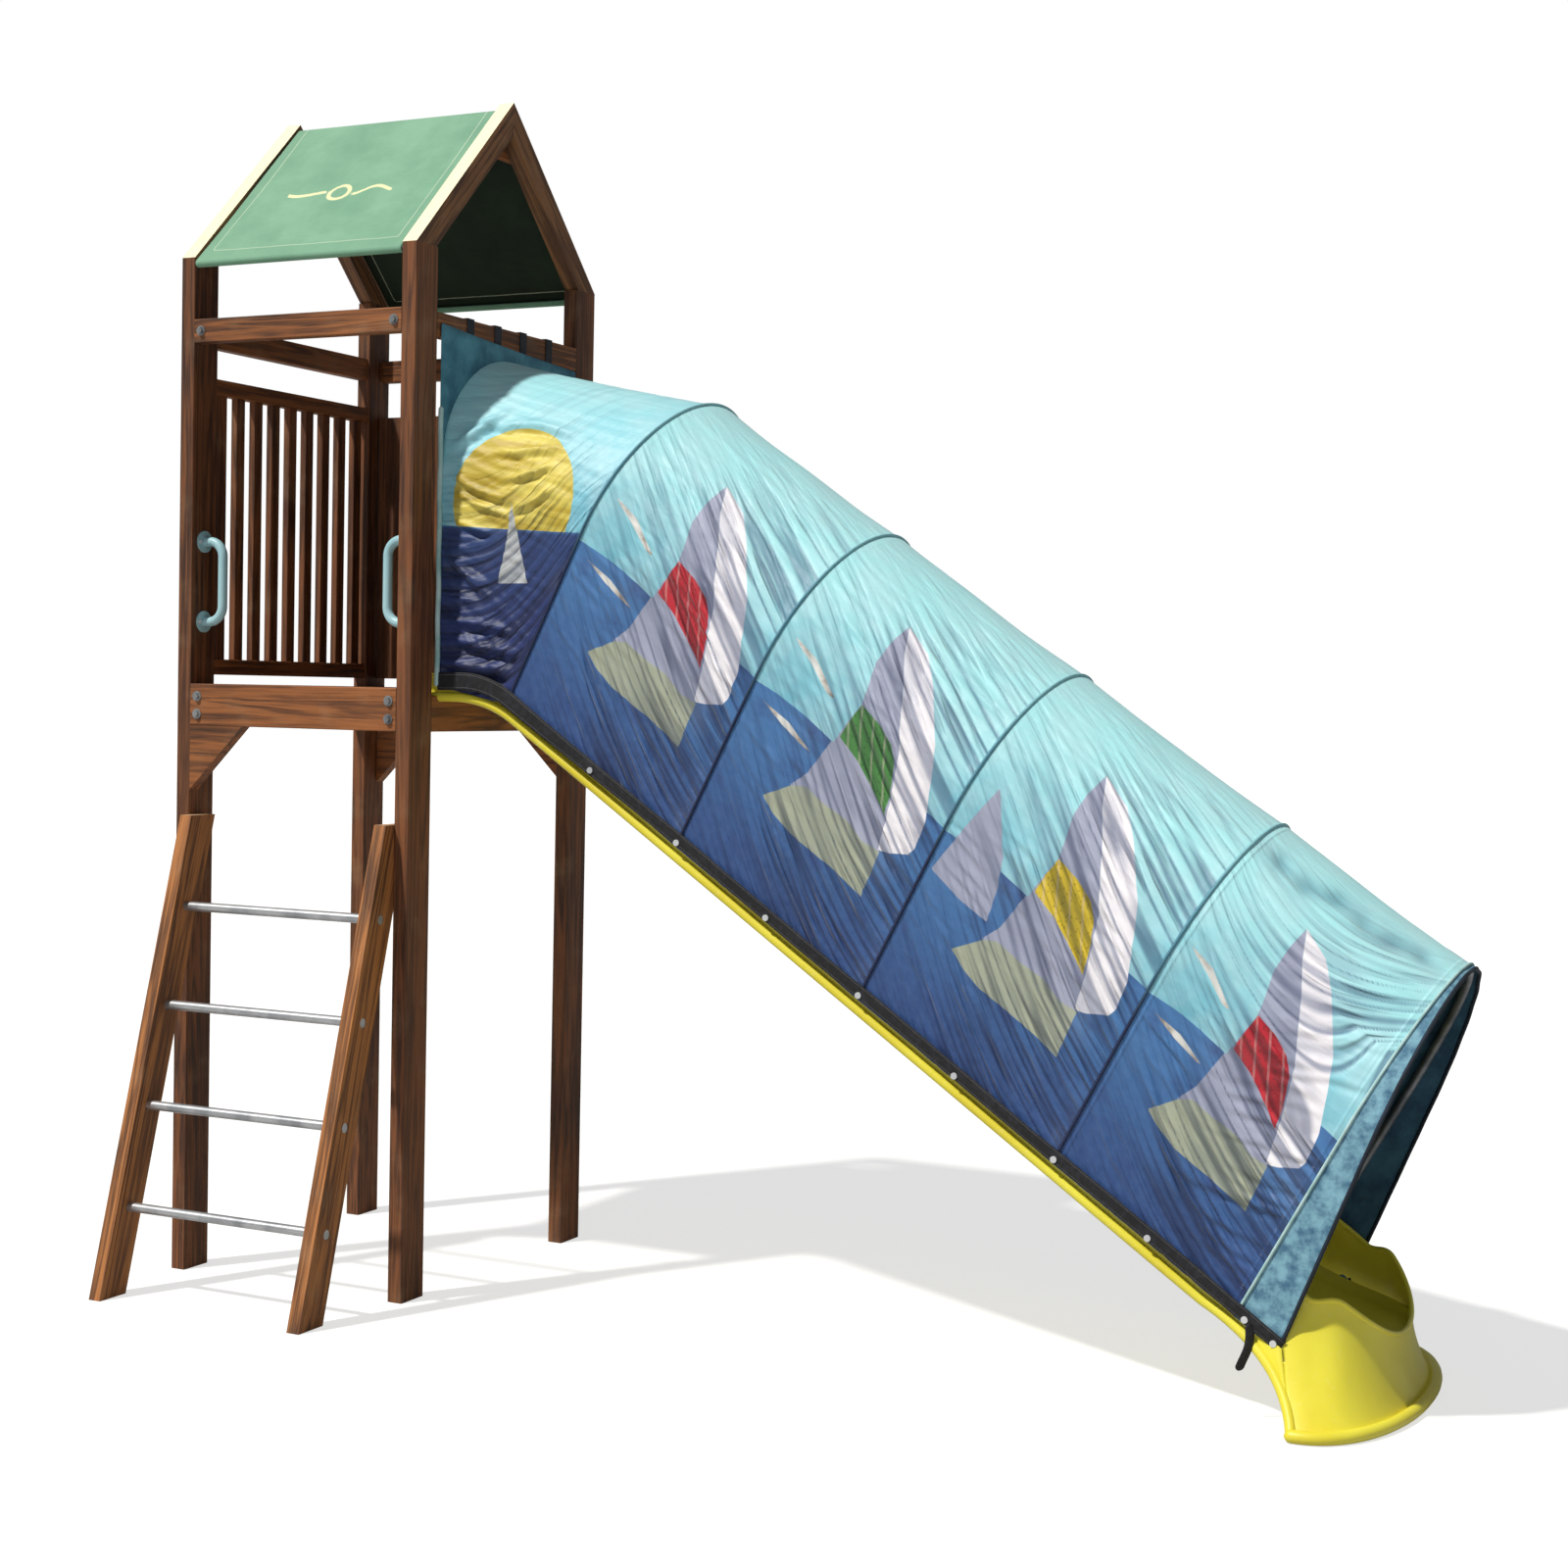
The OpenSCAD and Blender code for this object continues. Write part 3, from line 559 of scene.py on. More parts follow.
# The ladder and the rafters pass the strength of their cream tops, sun bleaching plus a painted highlight,
# full on the rafters
WOOD_LADDER = timber(
    "timber_ladder", 2, colour(192, 124, 66), brown_dark, 0.25, (lean_back * 0.8, 0, 0)
)
rise_front = span("rafter_front_left")
pitch = math.atan2(rise_front[1][2] - rise_front[0][2], rise_front[1][1] - rise_front[0][1])
WOOD_RAFTER_FRONT = timber(
    "timber_rafter_front", 1, colour(150, 102, 62), brown_dark, 1.0, (-pitch, 0, 0)
)
WOOD_RAFTER_BACK = timber(
    "timber_rafter_back", 1, colour(150, 102, 62), brown_dark, 1.0, (pitch, 0, 0)
)
SLIDE = moulded("slide_plastic_yellow", colour(238, 228, 72), colour(220, 202, 46), 0.34, sheen=0.12)
HANDLE = moulded("handle_plastic_teal", colour(166, 206, 214), colour(128, 176, 188), 0.35)
CAP = moulded("cap_plastic_white", colour(214, 216, 220), colour(170, 174, 180), 0.25)
RUNG = metal("rung_steel_bright", colour(214, 216, 220), colour(150, 154, 160), 0.24, 0, 0.8)
HOOP = metal("hoop_tube_grey", colour(150, 154, 158), colour(98, 102, 108), 0.35)
ROD = metal("rod_steel_dark", colour(96, 98, 102), colour(60, 60, 64), 0.4, 0)
BOLT = metal("bolt_steel_zinc", colour(176, 178, 180), colour(120, 122, 126), 0.35)
INSIDE = plain_cloth("cloth_inside", colour(66, 116, 142), colour(38, 74, 102))
PATCHES = [colour(196, 28, 48), colour(72, 136, 66), colour(226, 196, 46), colour(200, 24, 46)]
CLOTHS = [printed_cloth(f"cloth_bay_{k + 1}", c) for k, c in enumerate(PATCHES)]
CLOTH_ENTRY = printed_cloth("cloth_entry", PATCHES[0], colour(18, 30, 92))
CLOTH_END = plain_cloth("cloth_end_strip", colour(140, 190, 208), colour(58, 104, 136), 700.0, 0.6, 34.0)
CLOTH_MOUTH = plain_cloth("cloth_mouth_panel", colour(96, 160, 178), colour(58, 112, 134))
EDGING = plain_cloth("edge_binding_navy", colour(24, 40, 58), colour(12, 20, 32), 600.0)
PALE_EDGE = plain_cloth("edge_piping_pale", colour(196, 222, 222), colour(140, 184, 184), 600.0)
WEBBING = webbing("webbing_black")
PIPING = piping("seam_piping")
CANVAS = roof_cloth("roof_canvas_outside", colour(134, 180, 150), colour(112, 160, 132), True)
# Painted shade: the underside is the canvas's green darkened nearly to black for the shade under the roof
CANVAS_UNDER_PAINTED_SHADE = roof_cloth("roof_canvas_underside_painted_shade", colour(22, 50, 26), colour(14, 34, 18), False)

FINISHES = {
    "post_": WOOD_UP, "deck_beam_front": WOOD_LONG, "deck_beam_back": WOOD_LONG,
    "deck_beam_": WOOD_CROSS, "deck_ledger": WOOD_LONG, "deck_boards": WOOD_CROSS,
    "gusset_": WOOD_LONG, "guard_rail_front": WOOD_LONG, "guard_rail_back": WOOD_LONG,
    "guard_rail_": WOOD_CROSS, "fence_bars": WOOD_UP, "fence_": WOOD_CROSS,
    "panel_boards": WOOD_UP, "panel_": WOOD_LONG, "rafter_front": WOOD_RAFTER_FRONT,
    "rafter_back": WOOD_RAFTER_BACK, "gable_tie": WOOD_CROSS, "ridge_pole": WOOD_LONG,
    "eave_rod": ROD, "ladder_rail": WOOD_LADDER, "ladder_rungs": RUNG, "grab_handle": HANDLE,
    "handle_screws": CAP, "frame_bolts": BOLT, "slide_chute": SLIDE, "hoop_": HOOP,
    "hem_studs": CAP,
}


def finish_node(node):
    """Gives a CAD node the material of the longest matching name."""
    keys = [k for k in FINISHES if node.startswith(k)]
    if not keys:
        return
    piece = nodes[node]
    piece.data.materials.clear()
    piece.data.materials.append(FINISHES[max(keys, key=len)])


for node in nodes:
    finish_node(node)


# ---------------------------------------------------------------- tunnel cover

def edge_distance(x, y, corners):
    """Distance from each point to a closed outline, counted positive inside it."""
    corners = np.asarray(corners, float)
    best = np.full(x.shape, 9.0)
    inside = np.zeros(x.shape, bool)
    for (ax, ay), (bx, by) in zip(corners, np.roll(corners, -1, axis=0)):
        length = (bx - ax) ** 2 + (by - ay) ** 2
        t = np.clip(((x - ax) * (bx - ax) + (y - ay) * (by - ay)) / length, 0, 1)
        best = np.minimum(best, np.hypot(x - ax - t * (bx - ax), y - ay - t * (by - ay)))
        crosses = (ay > y) != (by > y)
        with np.errstate(divide="ignore", invalid="ignore"):
            at = ax + (y - ay) * (bx - ax) / (by - ay)
        inside ^= crosses & (x < at)
    return np.where(inside, best, -best)


# Outlines of the sails and the patch on a bay: part of the bay's length, metres up the cover
SAIL = [(0.41, 0.785), (0.55, 0.752), (0.645, 0.700), (0.73, 0.640), (0.80, 0.590), (0.86, 0.520),
        (0.915, 0.440), (0.928, 0.372), (0.915, 0.352), (0.84, 0.325), (0.79, 0.312),
        (0.752, 0.410), (0.69, 0.523), (0.62, 0.590), (0.555, 0.652), (0.475, 0.716)]
SHADE_SAIL = [(0.41, 0.785), (0.475, 0.716), (0.555, 0.652), (0.62, 0.590), (0.69, 0.523),
              (0.752, 0.410), (0.79, 0.312), (0.66, 0.330), (0.52, 0.325), (0.39, 0.340),
              (0.42, 0.455), (0.45, 0.560), (0.435, 0.600), (0.405, 0.655), (0.40, 0.715)]
JIB = [(0.41, 0.450), (0.377, 0.351), (0.330, 0.300), (0.393, 0.322), (0.50, 0.318),
       (0.62, 0.322), (0.72, 0.306), (0.80, 0.312), (0.745, 0.392), (0.64, 0.420), (0.54, 0.448)]
JIB_LOW = [(0.40, 0.345), (0.330, 0.297), (0.245, 0.240), (0.32, 0.222), (0.42, 0.209),
           (0.60, 0.208), (0.72, 0.206), (0.815, 0.198), (0.80, 0.312), (0.66, 0.330), (0.52, 0.330)]
PATCH = [(0.452, 0.561), (0.555, 0.550), (0.640, 0.530), (0.690, 0.500), (0.715, 0.462),
         (0.735, 0.430), (0.750, 0.385), (0.700, 0.405), (0.640, 0.424), (0.545, 0.450),
         (0.432, 0.468), (0.440, 0.515)]
STREAK = [(0.059, 0.592), (0.19, 0.580), (0.345, 0.530), (0.30, 0.532), (0.18, 0.564), (0.10, 0.580)]
SEA_STREAK = [(0.067, 0.425), (0.21, 0.420), (0.365, 0.392), (0.30, 0.396), (0.19, 0.406)]
FAR_SAIL = [(0.113, 0.605), (0.19, 0.545), (0.261, 0.483), (0.30, 0.410), (0.320, 0.342),
            (0.17, 0.345), (0.026, 0.361)]


def folds_on(run, arc, length, seed, rows, angle, strength=1.0):
    """Height of the pulled folds on a bay, in metres.

    Each fold is a straight ridge with a shallow trough under it. Rows of them climb the
    cover, each fold with its own start, length, turn and height, and all fade out at
    their ends, at the hoops and towards the ridge.
    """
    pick = np.random.default_rng(seed)
    height = np.zeros(run.shape)
    for row in rows:
        for part in range(2):
            centre = length * (0.26 + 0.48 * part + pick.uniform(-0.16, 0.16))
            at = row + pick.uniform(-0.010, 0.010)
            half_length = pick.uniform(0.07, 0.17)
            tilt = angle(centre / length, min(at, cover_arc - at)) + pick.uniform(-0.05, 0.05)
            if at > cover_arc / 2:
                tilt = -tilt
            wide = pick.uniform(0.0060, 0.0100)
            tall = pick.uniform(0.35, 1.0) * 0.0045 * strength
            high = abs(at - cover_arc / 2)
            tall *= 0.16 + 0.84 * min(1.0, high / 0.50) ** 1.5
            dx, dy = run - centre, arc - at
            on = dx * math.cos(tilt) + dy * math.sin(tilt)
            off = dy * math.cos(tilt) - dx * math.sin(tilt)
            off = off + 0.006 * np.sin(on * 23 + row * 9)
            fade = np.clip(1 - (on / half_length) ** 2, 0, 1) ** 1.5
            ridge = np.exp(-((off / wide) ** 2)) - 0.75 * np.exp(-(((off + 1.7 * wide) / wide) ** 2))
            height += tall * fade * ridge
    hold = np.clip(np.minimum(run, length - run) / 0.030, 0, 1)
    return height * hold * hold * (3 - 2 * hold)


def bay_angle(part, arc):
    """Turn of the folds: they fall towards the next hoop, more steeply low on the cover."""
    return -(0.12 + 0.38 * np.clip((0.75 - arc) / 0.6, 0, 1))


def last_bay_angle(part, arc):
    """Turn of the folds on the last bay, where they climb towards the open end."""
    if part > 0.5:
        return 0.10 + 0.45 * np.clip(arc / 0.9, 0, 1)
    return bay_angle(part, arc)


def pull_lines(part, arc, length, open_end=False):
    """A number that stays the same along each pulled line of the cloth, in metres.

    It is the height above the foot plus a drop that grows along the bay, so the lines
    fall towards the next hoop; on the last bay they turn and climb to the open end.
    """
    low = np.minimum(arc, cover_arc - arc)
    if open_end:
        turn = np.clip((low - 0.42) / 0.25, 0, 1)
        return low + length * (0.80 * part - (0.25 + 0.55 * turn) * part ** 2)
    steep = np.clip((1.05 - low) / 0.75, 0, 1)
    return low + length * (0.30 * part + 0.62 * steep * (part - 0.42 * part ** 2))


def cloth_slack(part, arc):
    """How strongly the cloth is gathered: most beside the lower hoop, least at the ridge."""
    low = np.minimum(arc, cover_arc - arc)
    near_ridge = np.clip((1.02 - low) / 0.35, 0, 1)
    return (0.30 + 0.70 * np.clip(part * 1.35, 0, 1)) * (0.10 + 0.90 * near_ridge)


def gathers(run, pull, slack, seed):
    """Depth of the fine gathers, 0 on a crest and 1 in a trough.

    Three waves across the pulled lines, each drifting slowly along the bay, are added
    and folded over, so the crests are broad and the troughs narrow.
    """
    pick = np.random.default_rng(seed)
    wave = np.zeros(run.shape)
    for width, share in ((0.043, 0.45), (0.060, 0.35), (0.094, 0.45)):
        a, b, c = pick.uniform(0, 6.28, 3)
        drift = 0.9 * np.sin(run * pick.uniform(4, 9) + b) + 0.6 * np.sin(pull * 7 + c)
        wave += share * np.sin(pull * 6.283 / width + a + drift)
    return slack * (1 - np.clip(np.abs(wave) * 1.5, 0, 1)) ** 1.4


def cover_points(s, arc, lift):
    """Points of the cover at foot place s and arc, moved out by lift."""
    y, h, out_y, out_m = outline(arc)
    return down_slope(s - h * lean, y + out_y * lift, FOOT_UP + h + out_m * lift)


def stitch_line(distance):
    """Two rows of stitching beside a seam, as a height."""
    rows = [np.exp(-(((distance - at) / 0.0016) ** 2)) for at in (0.009, 0.016)]
    return sum(rows)


def print_facts(run, arc, length, height, with_far_sail=False):
    """Distances to the print's outlines at every point."""
    part = run / length
    scale = HOOP_PITCH

    def gap(corners):
        spots = [(a * scale, b) for a, b in corners]
        return edge_distance(part * scale, arc, spots)

    none = np.full(run.shape, -1.0)
    line = 0.452 + 0.006 * np.sin(part * 9.0)
    far_line = cover_arc - 0.455
    facts = {
        "run": run, "arc": arc, "height": height, "shadow": np.zeros(run.shape),
        "pull": pull_lines(part, arc, length), "slack": cloth_slack(part, arc),
        "sea": np.maximum(line - arc, arc - far_line),
        "sail": gap(SAIL), "shade_sail": gap(SHADE_SAIL), "jib": gap(JIB),
        "jib_low": gap(JIB_LOW), "patch": gap(PATCH),
        "streak": none if with_far_sail else np.maximum(gap(STREAK), gap(SEA_STREAK)),
        "far_sail": gap(FAR_SAIL) if with_far_sail else none,
        "sun": none, "far_boat": none,
        "stitch": stitch_line(np.minimum(run, length - run)),
    }
    mirror = cover_arc - arc
    for key, corners in (("sail", SAIL), ("shade_sail", SHADE_SAIL), ("jib", JIB),
                         ("jib_low", JIB_LOW), ("patch", PATCH)):
        spots = [(a * scale, b) for a, b in corners]
        facts[key] = np.maximum(facts[key], edge_distance(part * scale, mirror, spots))
    return facts


def valley_depth(part, arc):
    """The sunken line beside the last bay's ridge, broken into lumps, from 0 to 1."""
    low = np.minimum(arc, cover_arc - arc)
    line = 0.885 + 0.055 * part + 0.012 * np.sin(part * 17)
    lumps = 0.80 + 0.20 * np.sin(part * 31 + 8 * low) * np.sin(part * 13 + 2)
    hold = np.clip(np.minimum(part, 1 - part) / 0.14, 0, 1)
    return np.exp(-(((low - line) / 0.036) ** 2)) * lumps * hold


def make_bay(k):
    """One bay of the cover: a printed sheet pulled from hoop to hoop, with its folds."""
    start, stop = hoops[k], hoops[k + 1]
    length = stop - start
    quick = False
    n = 60 if quick else 96
    m = 300 if quick else 460
    run, arc = np.meshgrid(np.linspace(0, length, n), np.linspace(0, cover_arc, m), indexing="ij")
    part = run / length
    belly = 4 * part * (1 - part)
    side = np.clip(1 - np.abs(arc - cover_arc / 2) / (cover_arc / 2), 0, 1)
    sag = -belly * (0.004 + 0.005 * np.sin(side * math.pi))
    rows = np.concatenate([np.arange(0.10, 1.0, 0.021), np.arange(1.12, 2.02, 0.024)])
    angle = last_bay_angle if k == 3 else bay_angle
    folds = folds_on(run, arc, length, 40 + k, rows, angle)
    slow = np.random.default_rng(90 + k).uniform(0, 6, 4)
    roll = 0.0018 * belly * np.sin(arc * 11 + slow[0]) * np.sin(run * 16 + arc * 5 + slow[1])
    pull = pull_lines(part, arc, length, k == 3)
    gather = gathers(run, pull, cloth_slack(part, arc), 60 + k)
    hold = np.clip(np.minimum(run, length - run) / 0.030, 0, 1)
    folds = folds - FOLD_DEPTH * gather * hold
    if k == 3:
        folds = folds - 0.012 * valley_depth(part, arc)
    points = cover_points(start + run, arc, sag + folds + roll)
    height = outline(arc)[1] + FOOT_UP
    facts = print_facts(run, arc, length, height, k == 2)
    # The gathers' depth also sets the painted shade in their troughs
    facts["gather"] = gather
    facts["pull"] = pull
    if k == 3:
        facts["shadow"] = 0.62 * valley_depth(part, arc)
    name = f"tunnel_cover_bay_{k + 1}"
    away = cover_points(start + run, arc, 1.0) - cover_points(start + run, arc, 0.0)
    piece = sheet_piece(name, points, CLOTH_THICK, CLOTHS[k], INSIDE, facts, away)
    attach(piece, "root")
    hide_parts(f"cover_bay_{k + 1}")
    return piece


for k in range(4):
    make_bay(k)

MOUTH_SPRING = 2.045
MOUTH_HALF = 0.3156
MOUTH_X = tower_right + 0.0035
mouth_leg = MOUTH_SPRING - (lip_z + FOOT_UP)


def mouth_outline(part):
    """The cover's edge at the tower: upright sides and a round top, from foot to foot."""
    total = 2 * mouth_leg + math.pi * MOUTH_HALF
    arc = part * total
    turn = (np.clip(arc, mouth_leg, total - mouth_leg) - mouth_leg) / MOUTH_HALF
    low = np.minimum(np.clip(arc, 0, mouth_leg), np.clip(total - arc, 0, mouth_leg))
    z = lip_z + FOOT_UP + low + MOUTH_HALF * np.sin(turn)
    y = mid_y - MOUTH_HALF * np.cos(turn)
    x = np.full(y.shape, MOUTH_X)
    return np.stack([x, y, z], -1)


def make_entry():
    """The first piece of the cover, from the tower's opening to the first hoop."""
    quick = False
    n = 60 if quick else 110
    m = 220 if quick else 380
    part, share = np.meshgrid(np.linspace(0, 1, n), np.linspace(0, 1, m), indexing="ij")
    near = mouth_outline(share)
    far = cover_points(np.full(share.shape, hoops[0]), share * cover_arc, 0.0)
    points = near * (1 - part[..., None]) + far * part[..., None]
    arc = share * cover_arc
    long = np.linalg.norm(far - near, axis=-1)
    run = part * long
    normal = surface_normals(points)
    pick = np.random.default_rng(7)
    folds = np.zeros(run.shape)
    x, z = points[..., 0] - tower_right, points[..., 2]
    ridges = [
        ((0.02, 1.585), (0.21, 1.560), 0.014, 0.010), ((0.06, 1.640), (0.24, 1.600), 0.012, 0.008),
        ((0.02, 1.700), (0.22, 1.655), 0.010, 0.006), ((0.03, 1.86), (0.15, 1.74), 0.013, 0.007),
        ((0.05, 2.04), (0.20, 1.97), 0.009, 0.006), ((0.20, 2.03), (0.33, 2.06), 0.008, 0.006),
        ((0.06, 2.00), (0.22, 1.93), 0.008, 0.005), ((0.22, 1.95), (0.33, 2.00), 0.008, 0.005),
        ((0.15, 2.10), (0.34, 2.10), 0.010, 0.005), ((0.05, 1.93), (0.16, 1.90), 0.008, 0.005),
        ((0.10, 2.18), (0.36, 2.15), 0.012, 0.005), ((0.04, 2.12), (0.16, 2.20), 0.012, 0.006),
    ]
    for (ax, az), (bx, bz), wide, tall in ridges:
        length = math.hypot(bx - ax, bz - az)
        ux, uz = (bx - ax) / length, (bz - az) / length
        on = (x - ax) * ux + (z - az) * uz
        off = (z - az) * ux - (x - ax) * uz + 0.004 * np.sin(on * 30)
        fade = np.clip(1 - ((on - length / 2) / (length * 0.62)) ** 2, 0, 1) ** 1.3
        shape = np.exp(-((off / wide) ** 2)) - 0.7 * np.exp(-(((off + 1.8 * wide) / wide) ** 2))
        folds += 1.9 * tall * fade * shape
    pull = z * 0.8 - x * 0.42 + 0.05 * np.sin(x * 9)
    slack = 0.25 + 0.75 * np.clip((2.10 - z) / 0.35, 0, 1)
    gather = gathers(run, pull, slack, 66)
    small = folds_on(run / long * 0.35, arc, 0.35, 31, np.arange(0.12, 2.0, 0.035), bay_angle, 0.6)
    hold = np.clip(np.minimum(part, 1 - part) / 0.10, 0, 1)
    belly = -0.006 * 4 * part * (1 - part)
    lift = (folds + small - FOLD_DEPTH * gather) * hold + belly
    points = points + normal * lift[..., None]
    level = points[..., 2]
    across = points[..., 0] - tower_right
    sea_line = 1.920 - across * 0.06
    none = np.full(run.shape, -1.0)
    near_side = np.where(share < 0.5, 0.0, -1.0)
    disc = 0.177 - np.hypot(across - 0.222, level - 1.978)
    sun = np.minimum(disc, level - sea_line) + near_side
    boat = [(0.219, 1.972), (0.236, 1.900), (0.268, 1.776), (0.178, 1.776), (0.205, 1.880)]
    boat_gap = edge_distance(across, level, boat) + near_side
    sea = sea_line - level
    shadow = 0.80 * np.clip((sea_line + 0.004 - level) / 0.012, 0, 1)
    facts = {
        "run": run, "arc": arc, "height": np.clip((level - 1.50) * 0.95, 0, 1.2), "sea": sea,
        "sail": none, "shade_sail": none, "jib": none, "jib_low": none, "patch": none,
        "streak": none, "far_sail": none, "sun": sun, "far_boat": boat_gap,
        "stitch": stitch_line((1 - part) * long), "shadow": shadow,
        # gather also sets the painted shade in the gathers' troughs
        "pull": pull, "slack": slack, "gather": gather,
    }
    piece = sheet_piece("tunnel_cover_entry", points, CLOTH_THICK, CLOTH_ENTRY, INSIDE, facts, normal)
    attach(piece, "root")
    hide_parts("cover_entry")
    return piece


make_entry()


def make_mouth_panel():
    """The flat cloth that closes the corners between the cover's round mouth and the rail."""
    n = 12
    share = np.linspace(0.12, 0.88, 160)
    inner = mouth_outline(share)
    rise = (share - 0.12) / 0.76
    top_near, top_far = 2.428, 2.372
    top = top_near + (top_far - top_near) * rise - 0.006 * np.sin(rise * math.pi)
    corner = np.clip(np.minimum(rise, 1 - rise) / 0.16, 0, 1)
    outer = np.stack([
        inner[:, 0],
        np.where(rise < 0.16, mid_y - MOUTH_HALF * 1.01,
                 np.where(rise > 0.84, mid_y + MOUTH_HALF * 1.01,
                          mid_y + ((rise - 0.16) / 0.68 * 2 - 1) * MOUTH_HALF * 1.01)),
        inner[:, 2] + (top - inner[:, 2]) * corner,
    ], -1)
    t = np.linspace(0, 1, n)[:, None, None]
    points = inner[None] * (1 - t) + outer[None] * t
    ripple = 0.0016 * np.sin(share * 70)[None, :] * np.sin(t[..., 0] * 3.1)
    points[..., 0] += ripple + 0.0012
    piece = sheet_piece("tunnel_mouth_panel", points[:, ::-1], CLOTH_THICK, CLOTH_MOUTH, CLOTH_MOUTH)
    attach(piece, "root")
    return piece


make_mouth_panel()


def make_mouth_piping():
    """Thick pale piping down both upright edges of the mouth, beside the posts."""
    for side, word in ((-1, "near"), (1, "far")):
        z = np.linspace(lip_z + 0.030, MOUTH_SPRING + 0.16, 60)
        x = np.full(z.shape, MOUTH_X + 0.004) + 0.0008 * np.sin(z * 40)
        y = np.full(z.shape, mid_y + side * (MOUTH_HALF + 0.005))
        piece = rounded_tube(f"mouth_piping_{word}", np.stack([x, y, z], -1), 0.0065, PALE_EDGE, 12)
        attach(piece, "root")


make_mouth_piping()


def make_end_strip():
    """The crescent past the last hoop, wide at its feet and narrow over the top."""
    n, m = 16, 340
    share = np.linspace(0, 1, m)
    part = np.linspace(0, 1, n)
    part, share = np.meshgrid(part, share, indexing="ij")
    arc = share * cover_arc
    h = outline(arc)[1]
    wide = END_STRIP + (END_STRIP_TOP - END_STRIP) * h / (HOOP_LEG + cover_r)
    wave = 0.0016 * np.sin(arc * 60) * part
    points = cover_points(LAST_HOOP + part * wide, arc, wave)
    piece = sheet_piece("tunnel_end_strip", points, CLOTH_THICK, CLOTH_END, INSIDE)
    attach(piece, "root")
    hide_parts("cover_end")
    round(0.62 * END_STRIP * cover_arc, 4)
    rim = rounded_tube("tunnel_end_binding", points[-1], 0.0045, EDGING)
    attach(rim, "root")


make_end_strip()


def make_seams():
    """Piping along the cover over every hoop."""
    for k, s in enumerate(hoops):
        arc = np.linspace(0.03, cover_arc - 0.03, 150)
        points = cover_points(np.full(arc.shape, s), arc, 0.0022)
        height = outline(arc)[1]
        material = PALE_EDGE if k == 4 else PIPING
        facts = {"run": arc, "height": height}
        piece = rounded_tube(f"tunnel_seam_{k + 1}", points, 0.0034, material, 10, facts=facts)
        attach(piece, "root")


make_seams()


def band_path(side_m, stop):
    """The hem band's line: level from the tower, round the bend, then down the slope."""
    lower = lip_z + side_m
    shift = side_m * math.tan(SLOPE / 2)
    corner_x = turn_x + shift
    radius = 0.24
    back = radius * math.tan(SLOPE / 2)
    level = np.linspace(tower_right + 0.010, corner_x - back, 12)
    first = np.stack([level, np.full(level.shape, lower)], -1)
    turn = np.linspace(0, SLOPE, 14)[1:-1]
    bend = np.stack([corner_x - back + radius * np.sin(turn), lower - radius * (1 - np.cos(turn))], -1)
    reach = down_slope(np.linspace(0.0, 1.0, 160) * (stop - 0.05) + 0.05, 0.0, side_m)
    rest = reach[:, [0, 2]]
    rest = rest[rest[:, 0] > corner_x + back * math.cos(SLOPE)]
    return np.concatenate([first, bend, rest])


def make_hem_band(side, node):
    """A webbing band along the cover's foot, a little wavy, with rounded edges."""
    path = band_path(0.0430, LAST_HOOP + END_STRIP)
    count = len(path)
    ahead = np.gradient(path, axis=0)
    ahead /= np.linalg.norm(ahead, axis=1, keepdims=True)
    square = np.stack([-ahead[:, 1], ahead[:, 0]], -1)
    run = np.concatenate([[0], np.cumsum(np.linalg.norm(np.diff(path, axis=0), axis=1))])
    half_h, half_t = 0.0152, 0.0017
    low, high = span(node)
    inner = (mid_y - high[1]) if side < 0 else (low[1] - mid_y)
    outer = (mid_y - low[1]) if side < 0 else (high[1] - mid_y)
    centre = (inner + outer) / 2
    ring = []
    marks = []
    for a in np.linspace(0, 2 * math.pi, 20, endpoint=False):
        up = math.copysign(abs(math.cos(a)) ** 0.35, math.cos(a))
        out = math.copysign(abs(math.sin(a)) ** 0.7, math.sin(a))
        ring.append((up, out))
        marks.append(up)
    wave = 0.0012 * np.sin(run * 21) + 0.0008 * np.sin(run * 47 + 1)
    lift = 0.0012 * np.sin(run * 9 + 0.6)
    extra = 0.0070 * np.exp(-((run / 0.42) ** 2))
    rings = []
    for up, out in ring:
        flat = path + square * ((half_h + extra) * up + lift - extra)[:, None]
        y = mid_y + side * (centre + half_t * out + wave * (0.4 + 0.6 * up))
        rings.append(np.stack([flat[:, 0], y, flat[:, 1]], -1))
    points = np.stack(rings, 1)
    sides = len(ring)
    i = np.arange(count * sides).reshape(count, sides)
    j = np.roll(i, -1, axis=1)
    quads = np.stack([i[:-1], j[:-1], j[1:], i[1:]], -1).reshape(-1, 4)
    if side > 0:
        quads = quads[:, ::-1]
    faces = [tuple(f) for f in quads]
    ends = [tuple(i[0, ::-1]), tuple(i[-1])] if side < 0 else [tuple(i[0]), tuple(i[-1, ::-1])]
    piece = new_mesh(f"{node}_webbing", points.reshape(-1, 3), faces + ends)
    piece.data.materials.append(WEBBING)
    for key, values in (("run", np.repeat(run, sides)), ("side", np.tile(marks, count))):
        kept = piece.data.attributes.new(key, "FLOAT", "POINT")
        kept.data.foreach_set("value", values)
    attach(piece, "root")
    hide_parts(node)


